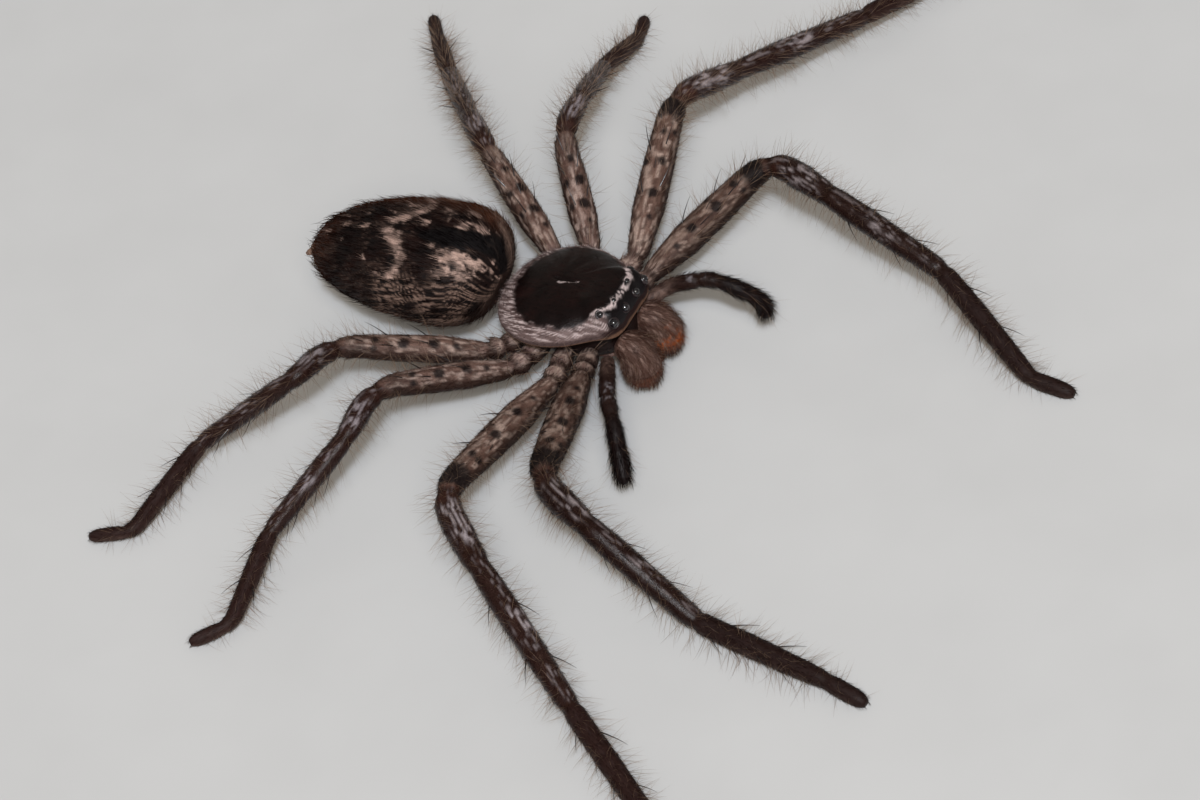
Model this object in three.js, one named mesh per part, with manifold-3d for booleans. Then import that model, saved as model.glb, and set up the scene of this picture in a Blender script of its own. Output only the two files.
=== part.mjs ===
// A huntsman spider at life size, walking pose, standing on a flat floor.
// Millimetres, +Z up. The head points to -Y, and the spider's own left side is +X.
import * as THREE from "three";
import { mergeVertices } from "three/addons/utils/BufferGeometryUtils.js";
import Module from "manifold-3d";

const wasm = await Module();
wasm.setup();

// Driving dimensions of the body

const GAP = 0.3; // left between neighbouring pieces

const carapace = {
  // Half of the rim, from the front middle to the back middle: forward, out.
  outline: [[6.6, 0], [6.35, 3.0], [4.45, 4.1], [2.15, 5.5], [-0.75, 6.05], [-3.55, 4.95], [-5.15, 2.9], [-5.8, 0]],
  rimHeight: 7.0,
  frontRimRise: 0.2,
  crownHeight: 9.3,
  headRise: 0.25,
  rimThickness: 0.3,
  dome: 2.5, // roundness of the sides and back, and how much squarer the face is
  faceDome: 7,
  backSlope: 0.25, // how much more gently the back falls away
};
const core = { halfLength: 4.4, halfWidth: 2.7, bottom: 3.9 };
const sternum = { bottom: 3.0, top: 3.6, halfWidth: 2.6, front: 2.9, back: -4.2 };
const pedicel = { radius: 0.65, frontHeight: 4.6, backHeight: 4.9, front: -4.77, back: -6.4 };
const abdomen = {
  front: -5.9,
  back: -24.7,
  frontHeight: 8.15, // of the middle line
  backHeight: 6.8,
  halfWidth: 6.2,
  halfHeight: 4.95,
  widest: 0.34, // share of the length from the front
  frontPower: 3.5, // bluntness of each end
  backPower: 2.05,
  bellyTaper: 0.42, // how much the underside draws in by the tail
};
// The share of the abdomen's length where they grow from its underside, and their sizes.
const spinnerets = { share: 0.985, length: 0.75, radius: 0.34, spread: 0.38, baseRadius: 0.85, baseLength: 0.5 };
// Eyes: share of a full turn from the front middle, reach from the crown to the rim, radius.
const eyes = {
  front_inner: { turn: 0.024, reach: 0.955, radius: 0.36 },
  front_outer: { turn: 0.07, reach: 0.965, radius: 0.38 },
  rear_inner: { turn: 0.034, reach: 0.83, radius: 0.3 },
  rear_outer: { turn: 0.092, reach: 0.85, radius: 0.34 },
};
const jaw = {
  // Middle line from under the face to the tip: forward, out, height.
  line: [[5.7, 1.75, 5.1], [7.0, 1.95, 4.7], [7.7, 2.1, 3.3], [7.35, 2.15, 1.2]],
  halfWidths: [[0, 1.0], [0.08, 1.3], [0.35, 1.68], [0.65, 1.66], [0.88, 1.35], [0.97, 0.9], [1, 0.6]],
  depth: 1.08,
};
const fang = { root: [7.7, 2.5, 0.55], middle: [7.4, 1.4, 0.4], tip: [6.7, 0.8, 0.45], rootRadius: 0.33, tipRadius: 0.1 };

// Driving dimensions of the palps: forward, out, height along the middle line.
const palps = {
  left: [[5.35, 3.75, 4.7], [7.0, 5.25, 5.6], [8.9, 5.9, 6.2], [10.6, 6.4, 6.4], [13.1, 6.6, 5.8], [14.8, 7.1, 4.3], [15.0, 7.1, 2.7]],
  right: [[5.45, 3.75, 4.75], [6.8, 6.25, 5.6], [8.2, 8.9, 5.9], [9.9, 11.3, 5.5], [11.1, 13.1, 4.3], [12.3, 14.9, 2.7]],
  bend: 0.52, // share of the length where the tip length starts
  upperHalfWidths: [[0, 0.5], [0.06, 0.68], [0.3, 0.7], [0.7, 0.74], [1, 0.66]],
  tipHalfWidths: [[0, 0.6], [0.06, 0.72], [0.45, 0.76], [0.8, 0.72], [0.94, 0.5], [1, 0.22]],
};

// Driving dimensions of the legs, first pair to fourth: the hip, the five lengths and how thick the leg is.
const legPairs = [
  { coxa: [3.4, 3.1], hip: [4.4, 6.5], lengths: [15.2, 7.4, 12.0, 12.6, 4.0], thick: 1.05 },
  { coxa: [1.2, 3.1], hip: [2.4, 8.0], lengths: [17.7, 7.1, 16.2, 17.5, 4.3], thick: 1.02 },
  { coxa: [-0.9, 3.1], hip: [-1.6, 7.5], lengths: [12.7, 5.6, 10.0, 9.0, 3.7], thick: 0.9 },
  { coxa: [-3.0, 3.1], hip: [-4.5, 6.2], lengths: [13.5, 5.3, 12.0, 10.2, 4.0], thick: 0.9 },
];
const coxaHeight = 4.35;
const hipHeight = 5.1;
// The walking pose. Bearings in degrees: 0 is straight ahead, 90 straight out to the leg's own side.
// Heights of the middle line: knee, end of the patella, of the tibia, of the metatarsus, and the tip.
// Size is the leg's own against its pair's, as no two are quite alike.
const poses = {
  left: [
    { bearings: [69, -22, -13, -32, -2], heights: [8.1, 7.9, 4.5, 1.0, 0.4], size: 1.01 },
    { bearings: [103, 72, 67, 67, 67], heights: [8.9, 6.8, 3.3, 1.1, 0.4], size: 1 },
    { bearings: [127, 101, 107, 98, 107], heights: [9.3, 8.5, 4.5, 1.0, 0.4], size: 1 },
    { bearings: [143, 135, 131, 128, 126], heights: [8.3, 7.8, 4.4, 1.1, 0.4], size: 1 },
  ],
  right: [
    { bearings: [76, 28, 12, 9, 10], heights: [7.4, 7.2, 1.7, 1.1, 0.4], size: 0.97 },
    { bearings: [93, 41, 35, 35, 35], heights: [8.2, 7.3, 3.4, 1.1, 0.4], size: 1 },
    { bearings: [131, 87, 120, 84, 137], heights: [8.9, 8.2, 3.0, 1.1, 0.4], size: 1 },
    { bearings: [152, 91, 155, 96, 162], heights: [8.0, 9.2, 2.3, 1.1, 0.4], size: 1 },
  ],
};
// How far before and after each joint the middle line starts to bend: hip, knee, patella, tibia, metatarsus.
const bendLengths = [1.2, 2.9, 1.3, 1.6, 1.0];
// Share of a length, then half of the leg's width there.
const coxaHalfWidths = [[0, 0.72], [0.1, 0.9], [0.48, 1.0], [0.63, 0.9], [0.8, 1.02], [1, 0.8]];
const femurHalfWidths = [[0, 0.75], [0.05, 0.98], [0.3, 1.42], [0.6, 1.38], [0.92, 1.16], [1, 0.85]];
const shinHalfWidths = [
  [0, 0.85], [0.04, 1.12], [0.17, 1.22], [0.33, 1.05], [0.38, 0.98], [0.5, 1.12], [0.96, 0.92], [1, 0.75],
];
const footHalfWidths = [
  [0, 0.7], [0.03, 0.86], [0.3, 0.93], [0.6, 0.84], [0.71, 0.74], [0.77, 0.64], [0.83, 0.73], [0.94, 0.68], [1, 0.35],
];
const legFlatness = 0.92; // height of a leg's section against its width
const floor = 0; // what lies lower is pressed flat onto it

// Spines stand in rings: share of the piece's length, then degrees round it from the top.
const spine = { length: 2.3, rootRadius: 0.27, tipRadius: 0.07, sunk: 0.45, lean: 38, sides: 4 };
const spineRings = {
  femur: [[0.35, -30], [0.4, 40], [0.62, -42], [0.66, 30]],
  shin: [[0.5, 95], [0.53, -95], [0.76, 88], [0.79, -88]],
  foot: [[0.1, 84], [0.14, -84], [0.38, 76], [0.42, -76]],
};
const spineJitter = 9; // degrees, seeded

const claw = { length: 0.75, rootRadius: 0.25, tipRadius: 0.08, apart: 0.28 };

// Finishes

const finish = (color, roughness) => new THREE.MeshStandardMaterial({ color, roughness, metalness: 0 });
const shellFinish = finish(0x2c1d1c, 0.5);
const abdomenFinish = finish(0x3a2a26, 0.8);
const legFinish = finish(0x4b3836, 0.65);
const darkLegFinish = finish(0x30201d, 0.5);
const jawFinish = finish(0x4a2f27, 0.6);
const eyeFinish = finish(0x0a0808, 0.1);
const paleFinish = finish(0x7a6258, 0.7);

// A point given as forward, out to one side, and height. The side is 1 for the left and -1 for the right.
const at = (forward, out, height, side = 1) => new THREE.Vector3(side * out, -forward, height);
const radians = THREE.MathUtils.degToRad;
const mix = THREE.MathUtils.lerp;

// A number from 0 to 1 that is the same in each run.
let seed = 7;
function draw() {
  seed = (seed * 16807) % 2147483647;
  return seed / 2147483647;
}

// Half of the width at a share of the length, from a list of shares and half widths.
function widthAt(list, share) {
  const next = list.findIndex(([place]) => place >= share);
  if (next <= 0) return list[0][1];
  const [[a, wa], [b, wb]] = [list[next - 1], list[next]];
  return mix(wa, wb, (share - a) / (b - a));
}

// Changes each vertex of a three.js shape by a function and returns a shape with shared vertices.
function reshape(geometry, move) {
  const position = geometry.getAttribute("position");
  const point = new THREE.Vector3();
  for (let i = 0; i < position.count; i++) {
    point.fromBufferAttribute(position, i);
    move(point);
    position.setXYZ(i, point.x, point.y, point.z);
  }
  geometry.deleteAttribute("normal");
  geometry.deleteAttribute("uv");
  return mergeVertices(geometry, 1e-4);
}

// The solid of a closed shape, and back again. Of several closed surfaces the largest is kept.
function solidOf(geometry) {
  const merged = mergeVertices(geometry, 1e-4);
  return new wasm.Manifold(
    new wasm.Mesh({
      numProp: 3,
      vertProperties: new Float32Array(merged.getAttribute("position").array),
      triVerts: new Uint32Array(merged.index.array),
    }),
  );
}
function shapeOf(solid) {
  const largest = solid.decompose().reduce((a, b) => (b.volume() > a.volume() ? b : a));
  const { vertProperties, triVerts } = largest.getMesh();
  return new THREE.BufferGeometry()
    .setAttribute("position", new THREE.BufferAttribute(new Float32Array(vertProperties), 3))
    .setIndex(new THREE.BufferAttribute(new Uint32Array(triVerts), 1));
}
const joined = (shapes) => shapeOf(shapes.map(solidOf).reduce((whole, next) => whole.add(next)));

// The sideways, upward and forward directions of a line at a share of its length.
function frameAt(line, share) {
  const along = line.getTangent(THREE.MathUtils.clamp(share, 0.0005, 0.9995)).normalize();
  const up = new THREE.Vector3(0, 0, 1).addScaledVector(along, -along.z).normalize();
  return { along, up, across: along.clone().cross(up) };
}

// A limb: rings of the given half widths along part of a line, closed at both ends.
function limb(line, from, to, halfWidths, { sides = 9, flatness = 1, thick = 1 } = {}) {
  const bands = halfWidths.length - 1;
  return reshape(new THREE.CylinderGeometry(1, 1, bands, sides, bands), (point) => {
    const [place, halfWidth] = halfWidths[Math.round(point.y + bands / 2)];
    const share = mix(from, to, place);
    const { up, across } = frameAt(line, share);
    const [x, z] = [point.x * halfWidth * thick, point.z * halfWidth * thick * flatness];
    point.copy(line.getPoint(share)).addScaledVector(across, x).addScaledVector(up, z);
  });
}

// A tapered spike that leaves a point in a direction, with its root sunk below the point.
function spike(root, direction, { length, rootRadius, tipRadius, sunk = 0, sides = 4 }) {
  const cone = new THREE.CylinderGeometry(tipRadius, rootRadius, length + sunk, sides, 1);
  cone.translate(0, (length - sunk) / 2, 0);
  const turn = new THREE.Quaternion().setFromUnitVectors(new THREE.Vector3(0, 1, 0), direction);
  return reshape(cone, (point) => point.applyQuaternion(turn).add(root));
}

// A line through joints, straight between them and rounded where it bends, with the lengths of its parts.
function jointedLine(joints, bends) {
  const line = new THREE.CurvePath();
  let start = joints[0];
  const cuts = [];
  let length = 0;
  joints.slice(1, -1).forEach((joint, i) => {
    const before = joint.clone().lerp(joints[i], bends[i] / joint.distanceTo(joints[i]));
    const after = joint.clone().lerp(joints[i + 2], bends[i] / joint.distanceTo(joints[i + 2]));
    const bend = new THREE.QuadraticBezierCurve3(before, joint, after);
    line.add(new THREE.LineCurve3(start, before));
    line.add(bend);
    length += start.distanceTo(before);
    cuts.push(length + bend.getLength() / 2);
    length += bend.getLength();
    start = after;
  });
  const end = joints[joints.length - 1];
  line.add(new THREE.LineCurve3(start, end));
  length += start.distanceTo(end);
  return { line, cuts, length };
}

// Body

const rim = new THREE.CatmullRomCurve3(
  [
    ...carapace.outline.map(([forward, out]) => at(forward, out, 0)),
    ...carapace.outline.slice(1, -1).reverse().map(([forward, out]) => at(forward, -out, 0)),
  ],
  true,
  "centripetal",
);

// A point on the carapace: share of a turn from the front middle, and reach from the crown (0) to the rim (1).
function onCarapace(turn, reach) {
  const edge = rim.getPoint(((turn % 1) + 1) % 1);
  const front = Math.max(0, -edge.y / carapace.outline[0][0]);
  const rimHeight = carapace.rimHeight + carapace.frontRimRise * front ** 3;
  const crown = carapace.crownHeight + carapace.headRise * front * reach;
  const dome = carapace.dome + carapace.faceDome * front ** 4;
  const back = Math.max(0, edge.y / -carapace.outline.at(-1)[0]);
  const slope = 0.5 + carapace.backSlope * back;
  const height = rimHeight + (crown - rimHeight) * Math.max(0, 1 - reach ** dome) ** slope;
  return new THREE.Vector3(edge.x * reach, edge.y * reach, height);
}

function makeCarapace() {
  const reaches = [0, 0.4, 0.68, 0.86, 0.95, 0.985, 1];
  const under = [0.97, 0.6];
  const rings = reaches.length + under.length + 2;
  const profile = Array.from({ length: rings }, (_, i) => new THREE.Vector2(i % (rings - 1) ? 1 : 0, -i));
  const segments = 30;
  const shell = reshape(new THREE.LatheGeometry(profile.reverse(), segments), (point) => {
    const ring = Math.round(-point.y);
    const turn = Math.atan2(point.x, point.z) / (2 * Math.PI);
    const edge = rim.getPoint(((turn % 1) + 1) % 1);
    const underside = onCarapace(turn, 1).z - carapace.rimThickness;
    if (ring < reaches.length) {
      point.copy(onCarapace(turn, reaches[ring]));
    } else if (ring === reaches.length) {
      point.set(edge.x * under[0], edge.y * under[0], underside);
    } else {
      const bottom = ring > reaches.length + 1;
      const wide = ring === rings - 1 ? 0 : 1;
      const angle = turn * 2 * Math.PI;
      const height = bottom ? core.bottom : carapace.rimHeight - carapace.rimThickness;
      point.copy(at(core.halfLength * wide * Math.cos(angle), core.halfWidth * wide * Math.sin(angle), height));
    }
  });
  return shell;
}

function makeEyes() {
  const list = [];
  for (const [row, { turn, reach, radius }] of Object.entries(eyes)) {
    for (const side of [1, -1]) {
      const centre = onCarapace(side * turn, reach);
      const ball = new THREE.SphereGeometry(radius, 8, 6).translate(centre.x, centre.y, centre.z);
      const socket = new THREE.SphereGeometry(radius + GAP / 2, 8, 6).translate(centre.x, centre.y, centre.z);
      list.push({ name: `eye_${row}_${side > 0 ? "left" : "right"}`, ball, socket });
    }
  }
  return list.map(({ name, ball, socket }) => ({
    name,
    ball: reshape(ball, () => {}),
    socket: reshape(socket, () => {}),
  }));
}

function makeSternum() {
  const { halfWidth, front, back, bottom, top } = sternum;
  const shield = new THREE.Shape();
  shield.moveTo(-halfWidth * 0.72, -front);
  shield.lineTo(halfWidth * 0.72, -front);
  shield.quadraticCurveTo(halfWidth * 1.3, 0, halfWidth * 0.8, -back * 0.62);
  shield.quadraticCurveTo(halfWidth * 0.4, -back, 0, -back);
  shield.quadraticCurveTo(-halfWidth * 0.4, -back, -halfWidth * 0.8, -back * 0.62);
  shield.quadraticCurveTo(-halfWidth * 1.3, 0, -halfWidth * 0.72, -front);
  const plate = new THREE.ExtrudeGeometry(shield, { depth: top - bottom, bevelEnabled: false, curveSegments: 6 });
  const pieces = [reshape(plate.translate(0, 0, bottom), () => {})];
  // The lip in the middle and a lobe on each side of it, in front of the shield.
  const lobes = [
    { out: 0, halfWidth: 0.75, reach: 1.3 },
    { out: 1.55, halfWidth: 0.7, reach: 2.2 },
    { out: -1.55, halfWidth: 0.7, reach: 2.2 },
  ];
  for (const lobe of lobes) {
    const ball = new THREE.SphereGeometry(1, 10, 6);
    pieces.push(
      reshape(ball, (point) => {
        const forward = front + lobe.reach * (0.25 + 0.75 * point.x);
        point.copy(at(forward, lobe.out + lobe.halfWidth * point.y, (bottom + top) / 2 + 0.32 * point.z));
      }),
    );
  }
  return joined(pieces);
}

function makePedicel() {
  const line = new THREE.LineCurve3(
    at(pedicel.front, 0, pedicel.frontHeight),
    at(pedicel.back, 0, pedicel.backHeight),
  );
  return limb(line, 0, 1, [[0, 0.8], [0.3, 1], [0.7, 1], [1, 0.8]], { thick: pedicel.radius });
}

// A point on the abdomen: share of its length from the front, and angle round it from the top.
function onAbdomen(share, angle) {
  const { widest, frontPower, backPower } = abdomen;
  const [away, power] =
    share < widest ? [(widest - share) / widest, frontPower] : [(share - widest) / (1 - widest), backPower];
  const full = Math.sqrt(Math.max(0, 1 - away ** power));
  const taper = Math.cos(angle) < 0 ? 1 - abdomen.bellyTaper * share : 1;
  return at(
    mix(abdomen.front, abdomen.back, share),
    full * abdomen.halfWidth * Math.sin(angle),
    mix(abdomen.frontHeight, abdomen.backHeight, share) + full * abdomen.halfHeight * taper * Math.cos(angle),
  );
}

function makeAbdomen() {
  const [around, along] = [22, 15];
  return reshape(new THREE.SphereGeometry(1, around, along), (point) => {
    point.copy(onAbdomen((1 - point.y) / 2, Math.atan2(-point.x, point.z)));
  });
}

function makeSpinnerets() {
  const { share, length, radius, spread, baseRadius, baseLength } = spinnerets;
  const surface = onAbdomen(share, Math.PI);
  const slope = onAbdomen(share + 0.005, Math.PI).sub(onAbdomen(share - 0.005, Math.PI)).normalize();
  const outward = slope.clone().cross(at(0, 1, 0));
  const root = surface.addScaledVector(outward, GAP);
  const base = { length: baseLength, rootRadius: baseRadius, tipRadius: baseRadius * 0.85, sides: 12 };
  const pieces = [spike(root, outward, base)];
  for (const [out, up, size] of [[1, 1, 1], [-1, 1, 1], [1, -1, 0.85], [-1, -1, 0.85]]) {
    const aside = at(0, out * spread, 0).addScaledVector(slope, up * spread);
    const place = root.clone().addScaledVector(outward, baseLength).add(aside);
    const direction = outward.clone().addScaledVector(aside, 0.35).normalize();
    const cone = { length: length * size, rootRadius: radius, tipRadius: radius * 0.5, sunk: 0.2, sides: 7 };
    pieces.push(spike(place, direction, cone));
  }
  return joined(pieces);
}

function makeJaw(side) {
  const line = new THREE.CatmullRomCurve3(jaw.line.map(([f, o, h]) => at(f, o, h, side)));
  return limb(line, 0, 1, jaw.halfWidths, { sides: 12, flatness: jaw.depth });
}

function makeFang(side) {
  const line = new THREE.QuadraticBezierCurve3(at(...fang.root, side), at(...fang.middle, side), at(...fang.tip, side));
  const widths = [0, 0.3, 0.6, 0.85, 1].map((share) => [share, mix(fang.rootRadius, fang.tipRadius, share)]);
  return limb(line, 0, 1, widths, { sides: 6 });
}

function makePalp(sideName, part) {
  const side = sideName === "left" ? 1 : -1;
  const line = new THREE.CatmullRomCurve3(palps[sideName].map(([f, o, h]) => at(f, o, h, side)));
  const half = GAP / 2 / line.getLength();
  return part === "upper"
    ? limb(line, 0, palps.bend - half, palps.upperHalfWidths, { sides: 9 })
    : limb(line, palps.bend + half, 1, palps.tipHalfWidths, { sides: 9 });
}

// Legs

// The joints of one leg, from the hip to the tip.
function legJoints(pair, pose, side) {
  const joints = [at(pair.hip[0], pair.hip[1], hipHeight, side)];
  pair.lengths.forEach((pairLength, i) => {
    const last = joints[i];
    const length = pairLength * pose.size;
    const rise = pose.heights[i] - last.z;
    const run = Math.sqrt(length ** 2 - rise ** 2);
    const bearing = radians(pose.bearings[i]);
    const step = at(run * Math.cos(bearing), run * Math.sin(bearing), rise, side);
    joints.push(last.clone().add(step));
  });
  return joints;
}

// The spines of one piece, in their rings.
function spinesOf(line, from, to, halfWidths, rings, thick) {
  return rings.map(([place, degrees]) => {
    const share = mix(from, to, place);
    const { along, up, across } = frameAt(line, share);
    const angle = radians(degrees + spineJitter * (2 * draw() - 1));
    const outward = up.clone().multiplyScalar(Math.cos(angle)).addScaledVector(across, Math.sin(angle));
    const lean = radians(spine.lean);
    const direction = along.clone().multiplyScalar(Math.cos(lean)).addScaledVector(outward, Math.sin(lean));
    const surface = widthAt(halfWidths, place) * thick * mix(1, legFlatness, Math.abs(Math.cos(angle)));
    const root = line.getPoint(share).addScaledVector(outward, surface);
    return spike(root, direction.normalize(), { ...spine, length: spine.length * (0.85 + 0.3 * draw()) });
  });
}

// The two claws under the tuft at the tip of a foot.
function clawsOf(line) {
  const { along, across } = frameAt(line, 1);
  return [1, -1].map((side) => {
    const root = line.getPoint(1).addScaledVector(across, side * claw.apart).addScaledVector(along, -0.3);
    const direction = along.clone().setZ(-0.25).normalize();
    return spike(root, direction, { ...claw, sunk: 0.2 });
  });
}

// Presses whatever lies lower than the sole flat onto the floor.
const flattenSole = (geometry) => reshape(geometry, (point) => (point.z = Math.max(point.z, floor)));

function makeLeg(name, pair, pose, side) {
  const root = at(pair.coxa[0], pair.coxa[1], coxaHeight, side);
  const { line, cuts, length } = jointedLine([root, ...legJoints(pair, pose, side)], bendLengths);
  const half = GAP / 2 / length;
  const [hip, knee, , ankle] = cuts.map((cut) => cut / length);
  const thick = pair.thick;
  const options = { flatness: legFlatness, thick };
  const pieces = {
    coxa: limb(line, 0, hip - half, coxaHalfWidths),
    femur: joined([
      limb(line, hip + half, knee - half, femurHalfWidths, options),
      ...spinesOf(line, hip + half, knee - half, femurHalfWidths, spineRings.femur, thick),
    ]),
    shin: joined([
      limb(line, knee + half, ankle - half, shinHalfWidths, options),
      ...spinesOf(line, knee + half, ankle - half, shinHalfWidths, spineRings.shin, thick),
    ]),
    foot: flattenSole(
      joined([
        limb(line, ankle + half, 1, footHalfWidths, { ...options, flatness: 1, sides: 9 }),
        ...spinesOf(line, ankle + half, 1, footHalfWidths, spineRings.foot, thick),
        ...clawsOf(line),
      ]),
    ),
  };
  return Object.entries(pieces).map(([piece, geometry]) => {
    const mesh = new THREE.Mesh(geometry, piece === "foot" || piece === "shin" ? darkLegFinish : legFinish);
    mesh.name = `leg_${name}_${piece}`;
    return mesh;
  });
}

// The whole spider

const spider = new THREE.Group();
function addPiece(name, geometry, material) {
  const mesh = new THREE.Mesh(geometry, material);
  mesh.name = name;
  spider.add(mesh);
}

const eyeList = makeEyes();
const sockets = eyeList.map(({ socket }) => solidOf(socket));
addPiece("carapace", shapeOf(sockets.reduce((shell, socket) => shell.subtract(socket), solidOf(makeCarapace()))), shellFinish);
for (const { name, ball } of eyeList) addPiece(name, ball, eyeFinish);
addPiece("sternum", makeSternum(), legFinish);
addPiece("pedicel", makePedicel(), legFinish);
addPiece("abdomen", makeAbdomen(), abdomenFinish);
addPiece("spinnerets", makeSpinnerets(), paleFinish);
for (const [sideName, side] of [["left", 1], ["right", -1]]) {
  addPiece(`jaw_${sideName}`, makeJaw(side), jawFinish);
  addPiece(`fang_${sideName}`, makeFang(side), shellFinish);
  addPiece(`palp_${sideName}_upper`, makePalp(sideName, "upper"), darkLegFinish);
  addPiece(`palp_${sideName}_tip`, makePalp(sideName, "tip"), darkLegFinish);
  legPairs.forEach((pair, i) => {
    for (const mesh of makeLeg(`${sideName}_${i + 1}`, pair, poses[sideName][i], side)) spider.add(mesh);
  });
}

// The origin is under the middle of the whole spider, on the floor.
const box = new THREE.Box3().setFromObject(spider);
const middle = box.getCenter(new THREE.Vector3());
spider.position.set(-middle.x, -middle.y, -box.min.z);
const part = new THREE.Group();
part.add(spider);

export default part;
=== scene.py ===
# %% [markdown]
# ## A huntsman spider, life size
# The model is a still figure: a flat, hairy spider with a leg span of about 118 mm. Its solids come
# ready made and fixed. Here each of them gets a fine skin with its markings, a coat of small solid
# hairs, and eyes, fangs, claws and spines of their own. All shapes are worked out in millimetres in
# the spider's own directions (forward, left, up) and turned into metres only when a mesh is made.

# %% Load the fixed model and find the spider's own middle
import math

import bpy
import numpy as np
from mathutils import Matrix, Vector


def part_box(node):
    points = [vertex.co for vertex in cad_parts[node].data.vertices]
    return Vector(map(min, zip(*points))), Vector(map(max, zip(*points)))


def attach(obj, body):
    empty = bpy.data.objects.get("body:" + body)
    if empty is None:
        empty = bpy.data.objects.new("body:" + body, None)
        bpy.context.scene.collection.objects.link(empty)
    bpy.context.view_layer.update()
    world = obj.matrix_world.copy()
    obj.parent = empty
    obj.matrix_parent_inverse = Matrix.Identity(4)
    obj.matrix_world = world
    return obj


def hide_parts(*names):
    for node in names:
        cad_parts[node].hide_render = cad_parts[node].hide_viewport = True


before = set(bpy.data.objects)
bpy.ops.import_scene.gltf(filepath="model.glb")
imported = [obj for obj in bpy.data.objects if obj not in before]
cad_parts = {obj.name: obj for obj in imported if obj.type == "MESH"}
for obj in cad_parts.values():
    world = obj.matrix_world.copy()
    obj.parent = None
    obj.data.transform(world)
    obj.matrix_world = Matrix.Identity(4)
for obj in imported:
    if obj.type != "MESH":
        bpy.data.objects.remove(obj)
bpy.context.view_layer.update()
MM = 0.001
FRONT_OF_SHELL = 6.636  # mm from the middle of the carapace to its front edge
shell_low, shell_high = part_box("carapace")
MIDDLE_X = (shell_low.x + shell_high.x) / 2
MIDDLE_Y = shell_low.y + FRONT_OF_SHELL * MM


def to_frame(points):
    """Metres in the model's frame, from rows of forward, left and up in millimetres."""
    forward, left, up = np.asarray(points, float).T
    return np.stack([left * MM + MIDDLE_X, -forward * MM + MIDDLE_Y, up * MM], axis=-1)


print("solids:", len(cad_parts), "middle at", round(MIDDLE_X, 5), round(MIDDLE_Y, 5))

# %% [markdown]
# ### Small tools for numbers
# A marking on a spider is never a clean shape: its edge is ragged because it is made of hairs. So
# each marking is a soft mask, and its edge is moved by a smooth random field. The field is a lattice
# of seeded random values, blended between the lattice points, which gives the same spider each time.

# %% Masks, curves and the random field
def fade(low, high, value):
    """0 below low, 1 above high and smooth between. With low above high it runs the other way."""
    t = np.clip((np.asarray(value, float) - low) / (high - low), 0, 1)
    return t * t * (3 - 2 * t)


def lattice_value(cell, seed):
    """A random number from 0 to 1 for each whole-numbered lattice point."""
    mixed = np.sin(cell @ np.array([127.1, 311.7, 74.7]) + seed * 53.3) * 43758.5453
    return mixed - np.floor(mixed)


def field(points, size, seed=0):
    """A smooth random value from 0 to 1 at each point. Size is the width of its blobs."""
    scaled = np.asarray(points, float) / size
    cell = np.floor(scaled)
    part = scaled - cell
    part = part * part * (3 - 2 * part)
    total = 0
    for corner in np.ndindex(2, 2, 2):
        weight = np.prod(np.where(corner, part, 1 - part), axis=-1)
        total = total + weight * lattice_value(cell + corner, seed)
    return total


def ragged(points, size, seed=0):
    """A rougher field around 0: large blobs with finer ones on them."""
    fine = field(points, size / 3, seed + 1)
    return 0.65 * field(points, size, seed) + 0.35 * fine - 0.5


def streaks(along, aside, seed, length=1.1, width=0.13):
    """A random value from 0 to 1 in short streaks, like hairs that lie side by side."""
    along, aside = np.broadcast_arrays(along * width / length, aside)
    return field(np.stack([along, aside, 0 * aside], axis=-1), width, seed)


def smooth_list(pairs, share):
    """A value at each share, on a smooth curve through (share, value) pairs."""
    places, values = np.array(pairs, float).T
    slopes = np.gradient(values, places)
    share = np.clip(share, places[0], places[-1])
    i = np.clip(np.searchsorted(places, share) - 1, 0, len(places) - 2)
    step = places[i + 1] - places[i]
    t = (share - places[i]) / step
    bend = slopes[i] * (t**3 - 2 * t**2 + t) + slopes[i + 1] * (t**3 - t**2)
    return values[i] * (2 * t**3 - 3 * t**2 + 1) + values[i + 1] * (3 * t**2 - 2 * t**3) + step * bend


def unit(vectors):
    return vectors / np.maximum(np.linalg.norm(vectors, axis=-1, keepdims=True), 1e-9)


def paint(hexadecimal):
    """A colour as it looks on screen, such as "6b5750", as the three linear numbers that a shader takes."""
    shown = np.array([int(hexadecimal[i : i + 2], 16) for i in (0, 2, 4)]) / 255
    return np.where(shown <= 0.04045, shown / 12.92, ((shown + 0.055) / 1.055) ** 2.4)


def cover(under, colour, mask):
    """Lays a colour over the colours below, as far as the mask says."""
    mask = np.clip(mask, 0, 1)[..., None]
    return under * (1 - mask) + np.asarray(colour) * mask


# %% [markdown]
# ### Lofted skins
# Every part of this spider is a rounded body along a middle line, so one tool makes them all: rings
# of points are joined to their neighbours, and each end closes on a pole. The skin carries, at each
# point, what its coat needs later: the colour, the way the hair lies, how long it is, how dense it
# stands, and how much it rises. Its UV map unrolls the skin: around it in one direction and along it
# in the other.

# %% The loft
COAT_NUMBERS = ("hair_length", "hair_density", "hair_rise", "fringe", "gloss")


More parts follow.
